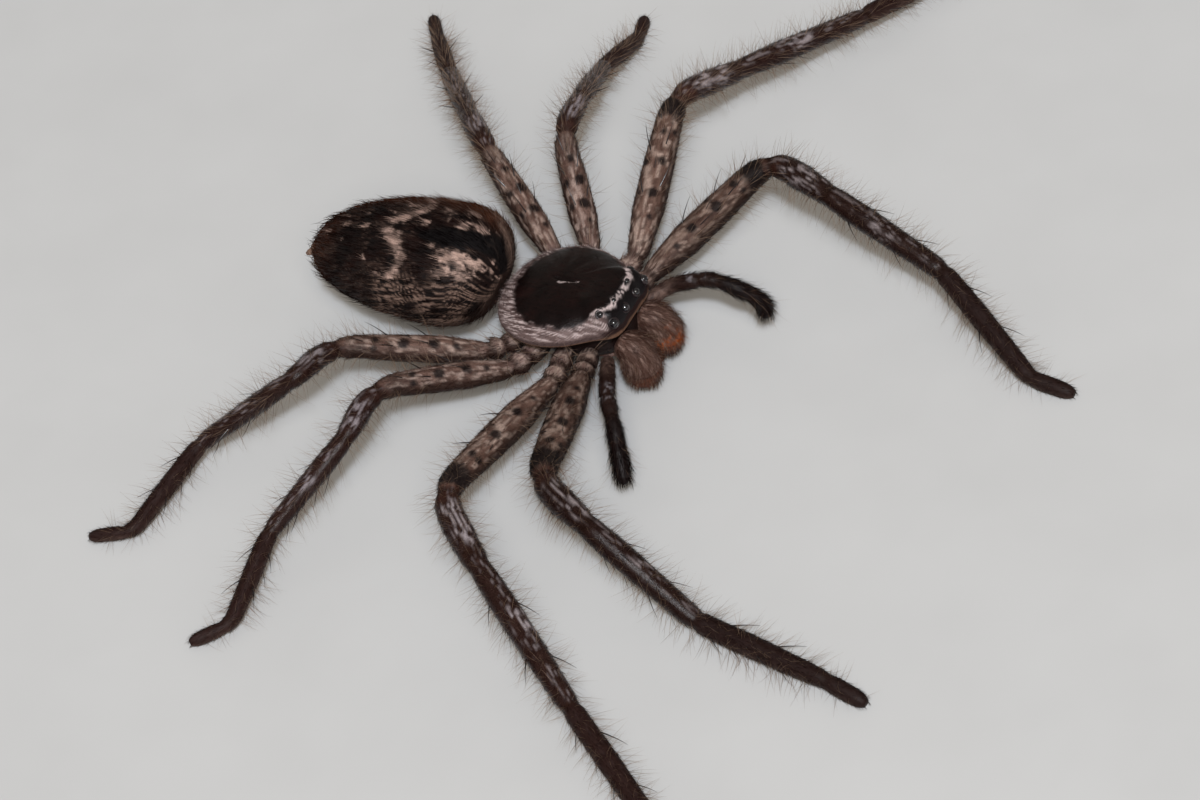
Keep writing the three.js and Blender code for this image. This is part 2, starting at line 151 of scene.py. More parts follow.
def loft_faces(count, around):
    """The faces of a loft as rows of corners, each with its corners' places on the unrolled skin."""
    ring, turn = (
        grid.ravel() for grid in np.meshgrid(np.arange(count - 1), np.arange(around), indexing="ij")
    )
    beside = (turn + 1) % around
    walls = np.stack([turn, beside, beside + around, turn + around], axis=-1) + ring[:, None] * around
    wall_turns = np.stack([turn, turn + 1, turn + 1, turn], axis=-1) / around
    wall_rings = np.stack([ring, ring, ring + 1, ring + 1], axis=-1) / (count - 1)
    turn = np.arange(around)
    beside = (turn + 1) % around
    cap_turns = np.stack([turn + 0.5, turn + 1, turn], axis=-1) / around
    start = np.stack([np.full(around, count * around), beside, turn], axis=-1)
    last = (count - 1) * around
    end = np.stack([np.full(around, count * around + 1), last + turn, last + beside], axis=-1)
    return [
        (walls, np.stack([wall_turns, wall_rings], axis=-1)),
        (start, np.stack([cap_turns, np.zeros_like(cap_turns)], axis=-1)),
        (end, np.stack([cap_turns[:, [0, 2, 1]], np.ones_like(cap_turns)], axis=-1)),
    ]


def six_volumes(points, corners):
    """Six times the volume under some faces, which is below 0 in all where they point inwards."""
    a = points[corners[:, 0]]
    pairs = range(1, corners.shape[1] - 1)
    return sum(np.sum(a * np.cross(points[corners[:, i]], points[corners[:, i + 1]])) for i in pairs)


def new_piece(name, points, faces, unrolled=None):
    """An object from points in mm and rows of corners, with its UV map where there is one."""
    mesh = bpy.data.meshes.new(name)
    mesh.from_pydata(to_frame(points).tolist(), [], [face for rows in faces for face in rows.tolist()])
    mesh.shade_smooth()
    if unrolled is not None:
        places = np.concatenate([rows.reshape(-1, 2) for rows in unrolled]).astype(np.float32)
        mesh.uv_layers.new(name="unrolled").data.foreach_set("uv", places.ravel())
    piece = bpy.data.objects.new(name, mesh)
    bpy.context.scene.collection.objects.link(piece)
    return piece


def loft(name, rings, lie=None, colour=None, **numbers):
    """A closed skin through rings of points in mm, with what its coat needs at each point."""
    count, around, _ = rings.shape
    points = np.concatenate([rings.reshape(-1, 3), [rings[0].mean(0), rings[-1].mean(0)]])
    parts = loft_faces(count, around)
    if sum(six_volumes(points, corners) for corners, _ in parts) < 0:
        parts = [(corners[:, ::-1], places[:, ::-1]) for corners, places in parts]
    piece = new_piece(name, points, [p[0] for p in parts], [p[1] for p in parts])

    def store(key, kind, field_name, values):
        ends = [values[0].mean(0), values[-1].mean(0)]
        flat = np.concatenate([values.reshape((-1,) + values.shape[2:]), ends]).astype(np.float32)
        piece.data.attributes.new(key, kind, "POINT").data.foreach_set(field_name, flat.ravel())

    if lie is not None:
        forward, left, up = np.moveaxis(lie, -1, 0)
        store("lie", "FLOAT_VECTOR", "vector", np.stack([left, -forward, up], axis=-1))
    if colour is not None:
        store(
            "coat_colour", "FLOAT_COLOR", "color",
            np.concatenate([colour, np.ones((count, around, 1))], axis=-1),
        )
    for key in COAT_NUMBERS:
        store(key, "FLOAT", "value", np.broadcast_to(numbers.get(key, 0.0), (count, around)) * 1.0)
    return piece


# %% [markdown]
# ### The camera
# The spider stands on a level floor and is seen at a slant: the camera looks down at it over its
# right side and is rolled a little. A long lens keeps the legs' sizes alike.

# %% Camera at the photograph's viewing angle
CAMERA_TURN = math.radians(-55.29)
CAMERA_RISE = math.radians(42.99)
CAMERA_ROLL = math.radians(11.61)
CAMERA_DISTANCE = 368 * MM
CAMERA_LENS = 129.84  # mm, on a sensor 36 mm wide
CAMERA_TARGET = Vector(to_frame([[4.21, -4.27, 0.13]])[0])


def aim(turn, rise):
    """The direction from the spider towards a place above it, in the model's frame."""
    flat = math.cos(rise)
    return Vector((flat * math.sin(turn), -flat * math.cos(turn), math.sin(rise)))


def looking_back(direction, roll=0.0):
    """A rotation whose own Z axis points in the direction, rolled round it."""
    right = Vector((0, 0, 1)).cross(direction).normalized()
    up = direction.cross(right)
    x = math.cos(roll) * right - math.sin(roll) * up
    y = math.sin(roll) * right + math.cos(roll) * up
    return Matrix((x, y, direction)).transposed().to_quaternion()


camera_data = bpy.data.cameras.new("camera")
camera_data.lens = CAMERA_LENS
camera_data.sensor_width = 36
camera_data.clip_start = 0.01
camera = bpy.data.objects.new("camera", camera_data)
camera.rotation_mode = "QUATERNION"
towards_camera = aim(CAMERA_TURN, CAMERA_RISE)
camera.rotation_quaternion = looking_back(towards_camera, CAMERA_ROLL)
camera.location = CAMERA_TARGET + towards_camera * CAMERA_DISTANCE
bpy.context.scene.collection.objects.link(camera)
bpy.context.scene.camera = camera
print("camera height mm:", round(camera.location.z / MM))

# %% [markdown]
# ### The legs: middle lines
# A spider's leg has seven pieces in a row: coxa, trochanter, femur, patella, tibia, metatarsus and
# tarsus. The pose is told by each piece's bearing seen from above and the height of its end, with
# one set of lengths for each pair, so that left and right legs are truly alike. The middle line runs
# straight in each piece and bends at the joints.

# %% Driving sizes of the legs, in mm and degrees
LEG_PAIRS = [
    {"coxa": (3.4, 3.1), "hip": (4.4, 6.5), "lengths": (15.2, 7.4, 12.0, 12.6, 4.0), "thick": 1.05},
    {"coxa": (1.2, 3.1), "hip": (2.4, 8.0), "lengths": (17.7, 7.1, 16.2, 17.5, 4.3), "thick": 1.02},
    {"coxa": (-0.9, 3.1), "hip": (-1.6, 7.5), "lengths": (12.7, 5.6, 10.0, 9.0, 3.7), "thick": 0.9},
    {"coxa": (-3.0, 3.1), "hip": (-4.5, 6.2), "lengths": (13.5, 5.3, 12.0, 10.2, 4.0), "thick": 0.9},
]
COXA_HEIGHT, HIP_HEIGHT = 4.35, 5.1
# Bearings: 0 is straight ahead, 90 straight out. Heights: knee, patella, tibia, metatarsus, tip.
LEG_POSES = {
    "left": [
        {"bearings": (69, -22, -13, -32, -2), "heights": (8.1, 7.9, 4.5, 1.0, 0.4), "size": 1.01},
        {"bearings": (103, 72, 67, 67, 67), "heights": (8.9, 6.8, 3.3, 1.1, 0.4), "size": 1},
        {"bearings": (127, 101, 107, 98, 107), "heights": (9.3, 8.5, 4.5, 1.0, 0.4), "size": 1},
        {"bearings": (143, 135, 131, 128, 126), "heights": (8.3, 7.8, 4.4, 1.1, 0.4), "size": 1},
    ],
    "right": [
        {"bearings": (76, 28, 12, 9, 10), "heights": (7.4, 7.2, 1.7, 1.1, 0.4), "size": 0.97},
        {"bearings": (93, 41, 35, 35, 35), "heights": (8.2, 7.3, 3.4, 1.1, 0.4), "size": 1},
        {"bearings": (131, 87, 120, 84, 137), "heights": (8.9, 8.2, 3.0, 1.1, 0.4), "size": 1},
        {"bearings": (152, 91, 155, 96, 162), "heights": (8.0, 9.2, 2.3, 1.1, 0.4), "size": 1},
    ],
}
BEND_LENGTHS = (1.2, 2.9, 1.3, 1.6, 1.0)  # hip, knee, patella, tibia, metatarsus
SIDES = {"left": 1, "right": -1}


# %% Middle line of a leg
class MiddleLine:
    """A line through joints, straight between them and rounded where it bends."""

    def __init__(self, joints, bends):
        points, lengths = [joints[0]], []
        for before, joint, after, bend in zip(joints, joints[1:], joints[2:], bends):
            start = joint + unit(before - joint) * bend
            end = joint + unit(after - joint) * bend
            t = np.linspace(0, 1, 25)[:, None]
            curve = (1 - t) ** 2 * start + 2 * t * (1 - t) * joint + t**2 * end
            points.extend(curve)
            lengths.append(len(points) - 13)
        points.append(joints[-1])
        self.points = np.array(points)
        steps = np.linalg.norm(np.diff(self.points, axis=0), axis=1)
        self.run = np.concatenate([[0], np.cumsum(steps)])
        self.length = self.run[-1]
        self.cuts = [self.run[i] for i in lengths]

    def at(self, distance):
        return np.stack([np.interp(distance, self.run, axis) for axis in self.points.T], axis=-1)

    def frames(self, distance, reach=0.25):
        """Along, up and sideways directions, each distance in mm from the root."""
        ahead = np.minimum(distance + reach, self.length)
        behind = np.maximum(distance - reach, 0)
        along = unit(self.at(ahead) - self.at(behind))
        up = unit(np.array([0, 0, 1.0]) - along * along[..., 2:])
        return along, up, np.cross(along, up)


def leg_line(side, number):
    """The middle line of one leg, from inside the body to the tip."""
    pair, pose, out = LEG_PAIRS[number - 1], LEG_POSES[side][number - 1], SIDES[side]
    joints = [
        np.array([pair["coxa"][0], out * pair["coxa"][1], COXA_HEIGHT]),
        np.array([pair["hip"][0], out * pair["hip"][1], HIP_HEIGHT]),
    ]
    for length, bearing, height in zip(pair["lengths"], pose["bearings"], pose["heights"]):
        rise = height - joints[-1][2]
        flat = math.sqrt((length * pose["size"]) ** 2 - rise**2)
        angle = math.radians(bearing)
        joints.append(joints[-1] + np.array([flat * math.cos(angle), out * flat * math.sin(angle), rise]))
    return MiddleLine(joints, BEND_LENGTHS)


LEGS = [(side, number) for side in SIDES for number in (1, 2, 3, 4)]
leg_lines = {leg: leg_line(*leg) for leg in LEGS}
print("leg lengths mm:", [round(line.length, 1) for line in leg_lines.values()])

# %% [markdown]
# ### The legs: one skin from coxa to tip
# The solids part each leg into four pieces with thin cuts. The skin runs over them in one loft, so no
# cut shows, and its joints are shallow creases as on the animal. It lies a little inside the solids,
# because the coat fills the rest. The widths are half of the leg's width along each piece.

# %% Half widths of the leg and its rings
COXA_WIDTHS = [(0, 0.72), (0.1, 0.92), (0.45, 1.04), (0.62, 0.78), (0.82, 1.12), (0.98, 0.76), (1, 0.74)]
FEMUR_WIDTHS = [(0, 0.75), (0.05, 0.98), (0.3, 1.42), (0.6, 1.38), (0.92, 1.16), (1, 0.85)]
SHIN_WIDTHS = [
    (0, 0.85), (0.04, 1.12), (0.17, 1.22), (0.31, 1.07), (0.35, 0.93), (0.4, 1.03), (0.55, 1.12),
    (0.96, 0.94), (1, 0.75),
]
FOOT_WIDTHS = [
    (0, 0.7), (0.03, 0.88), (0.3, 0.93), (0.6, 0.84), (0.72, 0.76), (0.77, 0.64), (0.82, 0.74),
    (0.94, 0.72), (0.98, 0.6), (1, 0.35),
]
LEG_FLATNESS = 0.92
COAT_DEPTH = 0.06
RING_STEP = 0.2
LEG_SIDES = 36
SHOWN_FLOOR = 0.02  # the skin of the sole ends this far above the floor


def leg_half_width(line, thick, distance):
    """Half of the leg's width at distances from its root, softened so that no ring stands out."""
    hip, knee, _, ankle, _ = line.cuts
    ends = [0, hip, knee, ankle, line.length]
    lists = [COXA_WIDTHS, FEMUR_WIDTHS, SHIN_WIDTHS, FOOT_WIDTHS]
    places, widths = [], []
    for start, end, pairs, scale in zip(ends, ends[1:], lists, (1, thick, thick, thick)):
        places += [start + share * (end - start) for share, _ in pairs]
        widths += [width * scale for _, width in pairs]
    fine = np.arange(0, line.length + 0.02, 0.02)
    raw = np.interp(fine, places, widths)
    window = np.hanning(31)
    padded = np.pad(raw, 15, mode="edge")
    soft = np.convolve(padded, window / window.sum(), mode="valid")
    return np.interp(distance, fine, soft)


def tube_rings(line, distance, half_width, sides, flatness=1.0):
    """Rings round a middle line, with the angle of each point from the top and the direction along it."""
    along, up, across = (direction[:, None] for direction in line.frames(distance))
    angle = np.linspace(0, 2 * np.pi, sides, endpoint=False)[None, :, None]
    half_width = np.asarray(half_width)[:, None, None]
    outward = up * np.cos(angle) * flatness + across * np.sin(angle)
    rings = line.at(distance)[:, None] + outward * half_width
    signed = (np.degrees(angle[..., 0]) + 180) % 360 - 180
    return rings, np.broadcast_to(signed, rings.shape[:2]), np.broadcast_to(along, rings.shape)


# %% [markdown]
# ### The legs: markings and painted shade
# The femur is grey with a pink tint, mottled, with dark round spots and a black band before the knee.
# The patella and the middle of the tibia carry silvery hairs on a dark, glossy brown, and the foot is
# a reddish dark brown. Each marking is placed as a share of its piece, with the angle round the leg
# measured from the top towards the front, so the same rule paints all eight legs. Painted shade makes
# each leg's sides and underside darker than its top, its root black, and the first pair the darkest.

# %% The colours of a leg
HAIR_GREY = paint("aa988e")
GREY_PINK, GREY_BROWN, EDGE_BROWN = paint("705a51"), paint("3f2a23"), paint("24130c")
SPOT_AND_SHADE_BLACK, SHIN_BROWN, SILVER = paint("0e0708"), paint("22120f"), paint("a9a3a8")
KNEE_RUST, FOOT_BROWN, SOLE_GREY, HIP_PINK = paint("43251a"), paint("24120e"), paint("54433c"), paint(
    "75615c"
)
# Femur spots: share of the femur, degrees from the top towards the front, radius in mm.
FEMUR_SPOTS = [
    (0.22, 28, 0.32), (0.36, 20, 0.5), (0.36, -42, 0.35), (0.56, 24, 0.55), (0.55, -38, 0.4),
    (0.74, 8, 0.4), (0.75, 52, 0.3),
]


# Tones of the four pairs, from the front: painted shade makes the first pair the darkest.
LEG_TONES = ((0.72, 0.66, 0.62), (1.0, 0.94, 0.9), (1.02, 0.97, 0.96), (0.98, 0.92, 0.89))


def leg_colours(line, side, number, rings, angle, distance):
    """The colour of each point of a leg's skin."""
    hip, knee, patella, ankle, tarsus = line.cuts
    front = angle * SIDES[side]
    d = np.broadcast_to(distance[:, None], angle.shape)
    girth = leg_half_width(line, LEG_PAIRS[number - 1]["thick"], distance)[:, None]
    seed = number * 7 + (3 if side == "left" else 0)
    rough = ragged(rings, 0.7, seed)
    fine = field(rings, 0.28, seed + 2)
    ends = d + 0.9 * rough

    hairs = streaks(d, np.radians(angle) * girth, seed + 4)
    wisps = streaks(d, np.radians(angle) * girth, seed + 5, length=0.7, width=0.07)
    colour = cover(np.broadcast_to(GREY_BROWN, rings.shape), GREY_PINK, 0.1 + 1.1 * hairs)
    colour = cover(colour, HIP_PINK, 0.8 * fade(hip + 1.6, hip - 0.6, ends))
    for share in (0.86, 0.5):
        bow = np.abs(d - share * hip + 0.35 * np.cos(np.radians(front * 1.6)) + 0.2 * rough)
        colour = cover(colour, HAIR_GREY, 0.8 * fade(0.2, 0.08, bow) * fade(85, 50, np.abs(front)))
    # Painted shade: the sides and underside of the leg are darker brown than its top.
    colour = cover(colour, EDGE_BROWN, 0.92 * fade(22, 72, np.abs(front - 8) + 55 * rough))
    colour = cover(
        colour, EDGE_BROWN, 0.75 * fade(0.5, 0.72, field(rings, 0.9, seed + 6)) * fade(0.35, 0.6, wisps)
    )
    # Painted shade: the leg's root turns black where it goes under the carapace.
    colour = cover(colour, SPOT_AND_SHADE_BLACK, 0.85 * fade(0.5 * hip, 0.2 * hip, d + 0.3 * rough))
    thigh = fade(knee - 0.3, knee - 1.2, ends) * fade(95, 40, np.abs(front))
    colour = cover(
        colour, HAIR_GREY,
        0.85 * fade(0.45, 0.75, wisps + 0.4 * rough) * thigh * (0.5 + 0.5 * fade(0.3, 0.55, fine)),
    )
    for share, degrees, radius in FEMUR_SPOTS:
        away = np.hypot(d - hip - share * (knee - hip), np.radians(front - degrees) * girth)
        colour = cover(colour, SPOT_AND_SHADE_BLACK, 0.92 * fade(radius + 0.16, radius - 0.16, away + 0.35 * rough))
    top = fade(120, 60, np.abs(front))
    band = fade(knee - 3.4, knee - 2.4, ends) * fade(knee - 0.3, knee - 0.9, ends) * top
    front_legs = number < 3
    colour = cover(colour, SPOT_AND_SHADE_BLACK, (0.95 if front_legs else 0.35) * band)
    shin = fade(knee - 0.5, knee + 0.2, ends)
    colour = cover(colour, SHIN_BROWN, shin * (0.86 + 0.14 * fine))
    rust = fade(knee - 0.9, knee - 0.2, ends) * fade(knee + 1.6, knee + 0.6, ends) * top
    colour = cover(colour, KNEE_RUST, (0.5 if front_legs else 0.2) * rust)
    silver = fade(knee + 1.2, knee + 2.0, ends) * fade(patella - 0.2, patella - 1.1, ends)
    silver_top = fade(75, 20, np.abs(front - 15) + 60 * rough)
    wash = 1.0 if front_legs else 0.6
    colour = cover(colour, SILVER, 0.8 * wash * silver * silver_top * fade(0.42, 0.72, wisps + 0.5 * rough))
    length = ankle - patella
    patch = fade(patella + 0.36 * length, patella + 0.44 * length, ends) * fade(
        patella + 0.62 * length, patella + 0.54 * length, ends
    )
    colour = cover(colour, SILVER, 0.7 * wash * patch * silver_top * fade(0.45, 0.75, wisps + 0.5 * rough))
    colour = cover(
        colour, SILVER,
        0.35 * shin * fade(50, 10, np.abs(front - 10)) * fade(0.62, 0.85, wisps + 0.3 * rough),
    )
    colour = cover(colour, FOOT_BROWN, fade(ankle - 0.3, ankle + 0.5, ends) * (0.7 + 0.3 * wisps))
    colour = cover(
        colour, SOLE_GREY, 0.5 * fade(ankle, ankle + 1, ends) * fade(60, 120, np.abs(front) + 40 * rough)
    )
    creases = sum(fade(0.45, 0.1, np.abs(d - joint)) for joint in (hip, knee, patella, ankle, tarsus))
    creases = creases + 1.2 * fade(0.45, 0.15, np.abs(d - 0.62 * hip))
    return cover(colour, EDGE_BROWN, np.minimum(0.8, 0.7 * creases)) * np.array(LEG_TONES[number - 1])


# %% Make the eight leg skins
def make_leg(side, number):
    """One leg's skin, from a root sunk in the body to the tip of its tarsus."""
    line = leg_lines[side, number]
    thick = LEG_PAIRS[number - 1]["thick"]
    distance = np.linspace(0, line.length, int(line.length / RING_STEP))
    half_width = leg_half_width(line, thick, distance) - COAT_DEPTH
    flatness = np.where(distance < line.cuts[3], LEG_FLATNESS, 1.0)[:, None, None]
    rings, angle, along = tube_rings(line, distance, half_width, LEG_SIDES, flatness)
    rings[..., 2] = np.maximum(rings[..., 2], SHOWN_FLOOR)
    hip, knee, _, ankle, tarsus = line.cuts
    foot = fade(tarsus - 2, tarsus, distance)[:, None]
    shin = (fade(knee, knee + 2, distance) * fade(ankle + 1, ankle - 1, distance))[:, None]
    outside = fade(1.2, 2.6, distance)[:, None]
    on_floor = fade(0.12, 0.3, rings[..., 2])
    shaggy = 0.15 + 0.85 * fade(hip + 3, knee + 2, distance)[:, None]
    return loft(
        f"leg_{side}_{number}_skin",
        rings,
        lie=along,
        colour=leg_colours(line, side, number, rings, angle, distance),
        hair_length=1.0 - 0.2 * foot + 0.5 * fade(hip + 3, hip, distance)[:, None],
        hair_density=outside * on_floor * (1 - 0.45 * shin),
        hair_rise=0.34 + 0.12 * shin + 0.2 * foot,
        fringe=shaggy * fade(line.length, tarsus, distance)[:, None] * on_floor,
        gloss=0.25 + 0.75 * shin,
    )


leg_skins = {leg: make_leg(*leg) for leg in LEGS}
print("leg skins:", len(leg_skins), "with", sum(len(s.data.polygons) for s in leg_skins.values()), "faces")

# %% [markdown]
# ### The carapace
# The front half of the body is covered by one shield. It is a low dome on a closed outline: the same
# outline and the same dome as the solid, with the furrow in its middle, the faint furrows that run
# out from it like spokes, and a small mound under each eye. The shield is its own piece, because on
# the animal it is a hard plate that ends in a free rim.

# %% The carapace's shape
SHELL_OUTLINE = [
    (6.6, 0), (6.35, 3), (4.45, 4.1), (2.15, 5.5), (-0.75, 6.05), (-3.55, 4.95), (-5.15, 2.9), (-5.8, 0)
]
RIM_HEIGHT, FRONT_RIM_RISE, CROWN_HEIGHT, HEAD_RISE = 7.0, 0.2, 9.3, 0.25
DOME, FACE_DOME, BACK_SLOPE = 2.5, 7, 0.25
SHELL_RINGS, SHELL_SIDES = 56, 192
EYES = {
    "front_inner": {"turn": 0.024, "reach": 0.955, "radius": 0.36},
    "front_outer": {"turn": 0.07, "reach": 0.965, "radius": 0.38},
    "rear_inner": {"turn": 0.034, "reach": 0.83, "radius": 0.3},
    "rear_outer": {"turn": 0.092, "reach": 0.85, "radius": 0.34},
}


def between(a, b, c, d, t):
    """A point at share t from b to c, on a smooth curve that comes from a and goes on to d."""
    steps = ((a, b), (b, c), (c, d))
    ab, bc, cd = (np.linalg.norm(q - p, axis=-1, keepdims=True) ** 0.5 for p, q in steps)
    out = ((b - a) / ab - (c - a) / (ab + bc) + (c - b) / bc) * bc
    into = ((c - b) / bc - (d - b) / (bc + cd) + (d - c) / cd) * bc
    start = (2 * t**3 - 3 * t**2 + 1) * b + (t**3 - 2 * t**2 + t) * out
    return start + (3 * t**2 - 2 * t**3) * c + (t**3 - t**2) * into


def closed_curve(corners, turn):
    """A smooth closed curve through corners, at shares of a full turn."""
    corners = np.array(corners, float)
    count = len(corners)
    place = (np.asarray(turn, float) % 1) * count
    i = np.floor(place).astype(int)
    t = (place - i)[..., None]
    return between(*(corners[(i + step) % count] for step in (-1, 0, 1, 2)), t)


shell_corners = SHELL_OUTLINE + [(forward, -left) for forward, left in SHELL_OUTLINE[-2:0:-1]]


def on_shell(turn, reach):
    """A point of the carapace: share of a turn from the front, reach from crown (0) to rim (1)."""
    forward, left = np.moveaxis(closed_curve(shell_corners, turn), -1, 0)
    front = np.maximum(0, forward / SHELL_OUTLINE[0][0])
    back = np.maximum(0, forward / SHELL_OUTLINE[-1][0])
    rim = RIM_HEIGHT + FRONT_RIM_RISE * front**3
    crown = CROWN_HEIGHT + HEAD_RISE * front * reach
    dome = DOME + FACE_DOME * front**4
    height = rim + (crown - rim) * np.maximum(0, 1 - reach**dome) ** (0.5 + BACK_SLOPE * back)
    return np.stack(np.broadcast_arrays(forward * reach, left * reach, height), axis=-1)


eye_places = {}
for eye_name, eye in EYES.items():
    for side, sign in SIDES.items():
        eye_places[f"eye_{eye_name}_{side}"] = (on_shell(sign * eye["turn"], eye["reach"]), eye["radius"])
print("eyes:", len(eye_places))


# %% The carapace's relief and markings
# Where the pale band starts, as reach, by share of a turn from the front.
BAND_EDGE = [
    (0, 0.86), (0.09, 0.86), (0.13, 0.89), (0.17, 0.9), (0.21, 0.89), (0.25, 0.87),
    (0.3, 0.83), (0.34, 0.78), (0.39, 0.75), (0.45, 0.73), (0.5, 0.71),
]
FOVEA = (-0.6, 1.4)  # mm forward, from end to end of the furrow in the middle
GLINT_LINE = [(-0.2, -0.5), (0.6, -0.3), (1.5, 0.05)]  # a painted highlight beside the furrow
FURROWS = (0.135, 0.22, 0.3, 0.375)  # turns of the furrows that run out from it
# The line of pale hairs behind the eyes: forward, left.
EYE_LINE = [(4.3, -3.1), (5.35, -2.45), (5.62, -1.7), (5.6, -0.3), (5.6, 0.8), (5.5, 1.9), (4.7, 2.8)]
SHELL_BLACK, SHELL_BROWN, BAND_PINK = paint("080303"), paint("200d0b"), paint("6e5b58")
BAND_AND_HIGHLIGHT_PALE, EYE_FIELD, FACE_TAN, CORE_BROWN = paint("c6b5b2"), paint("0b0709"), paint("80604c"), paint(
    "1c110f"
)


def away_from_line(points, corners):
    """How far points lie from a line through corners, all as rows of forward and left."""
    nearest = np.full(points.shape[:-1], 99.0)
    for start, end in zip(np.array(corners, float)[:-1], np.array(corners, float)[1:]):
        step = end - start
        t = np.clip((points - start) @ step / (step @ step), 0, 1)[..., None]
        nearest = np.minimum(nearest, np.linalg.norm(points - start - t * step, axis=-1))
    return nearest


def shell_relief(points, turn, reach):
    """How far the carapace stands above or below its plain dome, in mm."""
    half_turn = np.minimum(turn, 1 - turn)
    ends = [(FOVEA[0], 0), (FOVEA[1], 0)]
    relief = -0.16 * fade(0.32, 0.0, away_from_line(points[..., :2], ends))
    for furrow in FURROWS:
        width = 0.03
        relief = relief - 0.05 * fade(width, 0, np.abs(half_turn - furrow)) * fade(0.2, 0.4, reach) * fade(
            0.9, 0.7, reach
        )
    relief = relief + 0.12 * fade(0.15, 0.1, half_turn) * fade(0.35, 0.55, reach) * fade(0.97, 0.9, reach)
    relief = relief + 0.05 * ragged(points, 0.8, 41) * fade(1, 0.9, reach)
    for centre, radius in eye_places.values():
        away = np.linalg.norm(points[..., :2] - centre[:2], axis=-1)
        relief = relief + 0.14 * fade(radius * 2.2, radius * 0.9, away)
    return relief


def shell_colours(points, turn, reach):
    """The carapace's colour at each point of its upper side."""
    half_turn = np.minimum(turn, 1 - turn)
    rough, fine = ragged(points, 0.6, 51), streaks(
        points[..., 0], points[..., 1] * 1.2 + points[..., 2], 52, length=0.7, width=0.1
    )
    colour = cover(
        np.broadcast_to(SHELL_BLACK, points.shape), SHELL_BROWN, 0.9 * field(points, 1.1, 53) * fine
    )
    flat = points[..., :2]
    ahead = fade(4.9, 5.4, flat[..., 0]) * fade(0.13, 0.1, half_turn)
    colour = cover(colour, EYE_FIELD, 0.95 * ahead)
    edge = smooth_list(BAND_EDGE, half_turn)
    band = fade(edge - 0.05, edge + 0.035, reach + 0.11 * rough) * fade(0.075, 0.1, half_turn + 0.02 * rough)
    colour = cover(colour, BAND_PINK, band * (0.75 + 0.25 * fine))
    colour = cover(colour, BAND_AND_HIGHLIGHT_PALE, 0.9 * band * fade(0.5, 0.8, fine) * fade(0.998, 0.97, reach))
    colour = cover(colour, SHELL_BROWN, 0.75 * band * fade(0.45, 0.2, fine) * fade(1.0, 0.86, reach))
    colour = cover(colour, SHELL_BROWN, 0.5 * fade(0.985, 0.999, reach) * fade(0.1, 0.14, half_turn))
    # Painted highlight: a thin pale line beside the furrow.
    glint = fade(0.09, 0.03, away_from_line(flat, GLINT_LINE) + 0.1 * rough)
    colour = cover(colour, BAND_AND_HIGHLIGHT_PALE, 0.7 * glint)
    line = fade(0.3, 0.12, away_from_line(flat, EYE_LINE) + 0.45 * rough)
    colour = cover(colour, BAND_AND_HIGHLIGHT_PALE, 0.85 * line * fade(0.25, 0.5, fine))
    above = (
        points[..., 2] - RIM_HEIGHT - FRONT_RIM_RISE
        * np.maximum(0, flat[..., 0] / SHELL_OUTLINE[0][0]) ** 3
    )
    face = fade(0.75, 0.6, above) * fade(0.13, 0.1, half_turn)
    colour = cover(colour, SHELL_BROWN, 0.9 * face)
    lip = fade(0.2, 0.08, above) * fade(0.13, 0.1, half_turn)
    return cover(colour, FACE_TAN, 0.7 * lip * (0.5 + 0.5 * fine)), band, np.maximum(line, face)


# %% Make the carapace and the sides of the body under it
CORE_MIDDLE, CORE_LENGTH, CORE_WIDTH, CORE_BOTTOM = 0.85, 5.35, 3.6, 3.8
RIM_THICKNESS = 0.3
LIP_DROP = 0.15  # mm: the rim is tan down to here


def make_shell():
    """The shield, round its rim and on down to the belly between the legs, in one closed skin."""
    turn = np.linspace(0, 1, SHELL_SIDES, endpoint=False)
    reach = 1 - (1 - np.linspace(0.012, 1, SHELL_RINGS)) ** 1.7
    turns, reaches = np.meshgrid(turn, reach)
    top = on_shell(turns, reaches)
    relief = shell_relief(top, turns, reaches)
    colour, band, brow = shell_colours(top, turns, reaches)
    top[..., 2] += relief - 0.03
    rim = on_shell(turn, 1)
    rings, shades = [top], [colour]
    for share, drop in ((1.002, 0.1), (0.995, 0.22), (0.975, RIM_THICKNESS), (0.9, RIM_THICKNESS + 0.02)):
        rings.append((rim * [share, share, 1] - [0, 0, drop])[None])
        edge = CORE_BROWN if drop > LIP_DROP else cover(SHELL_BROWN, FACE_TAN, np.array(0.6))
        shades.append(np.broadcast_to(edge, rim.shape)[None])
    angle = 2 * np.pi * turn
    for height, wide in (
        (1, 0.98), (0.8, 1), (0.5, 1.02), (0.2, 1), (0.06, 0.96), (0, 0.86), (0, 0.5), (0, 0.1)
    ):
        level = CORE_BOTTOM + height * (RIM_HEIGHT - RIM_THICKNESS - 0.05 - CORE_BOTTOM)
        forward = CORE_MIDDLE + CORE_LENGTH * wide * np.cos(angle)
        left = CORE_WIDTH * wide * np.sin(angle)
        rings.append(np.stack([forward, left, np.full_like(forward, level)], axis=-1)[None])
        shades.append(np.broadcast_to(CORE_BROWN, rim.shape)[None])
    rings, shades = np.concatenate(rings), np.concatenate(shades)
    lie = unit(rings * [0.35, 0.5, 0] + [-3.0, 0, 0])
    hairy = np.zeros(rings.shape[:2])
    hairy[:SHELL_RINGS] = np.maximum(0.1, band) + 0.5 * brow
    hairy[SHELL_RINGS + 4 : SHELL_RINGS + 9] = 0.3
    return loft(
        "carapace_skin",
        rings,
        lie=lie,
        colour=shades,
        hair_length=0.75,
        hair_density=np.clip(hairy, 0, 1),
        hair_rise=0.2,
        gloss=np.clip(1 - 1.2 * hairy, 0.1, 1),
    )


carapace_skin = make_shell()
print("carapace faces:", len(carapace_skin.data.polygons))

# %% [markdown]
# ### The underside and the waist
# Below the carapace lies the sternum, a heart-shaped plate between the hips, with the lip and two
# lobes of the mouth in front of it. A thin waist joins the front of the body to the abdomen.

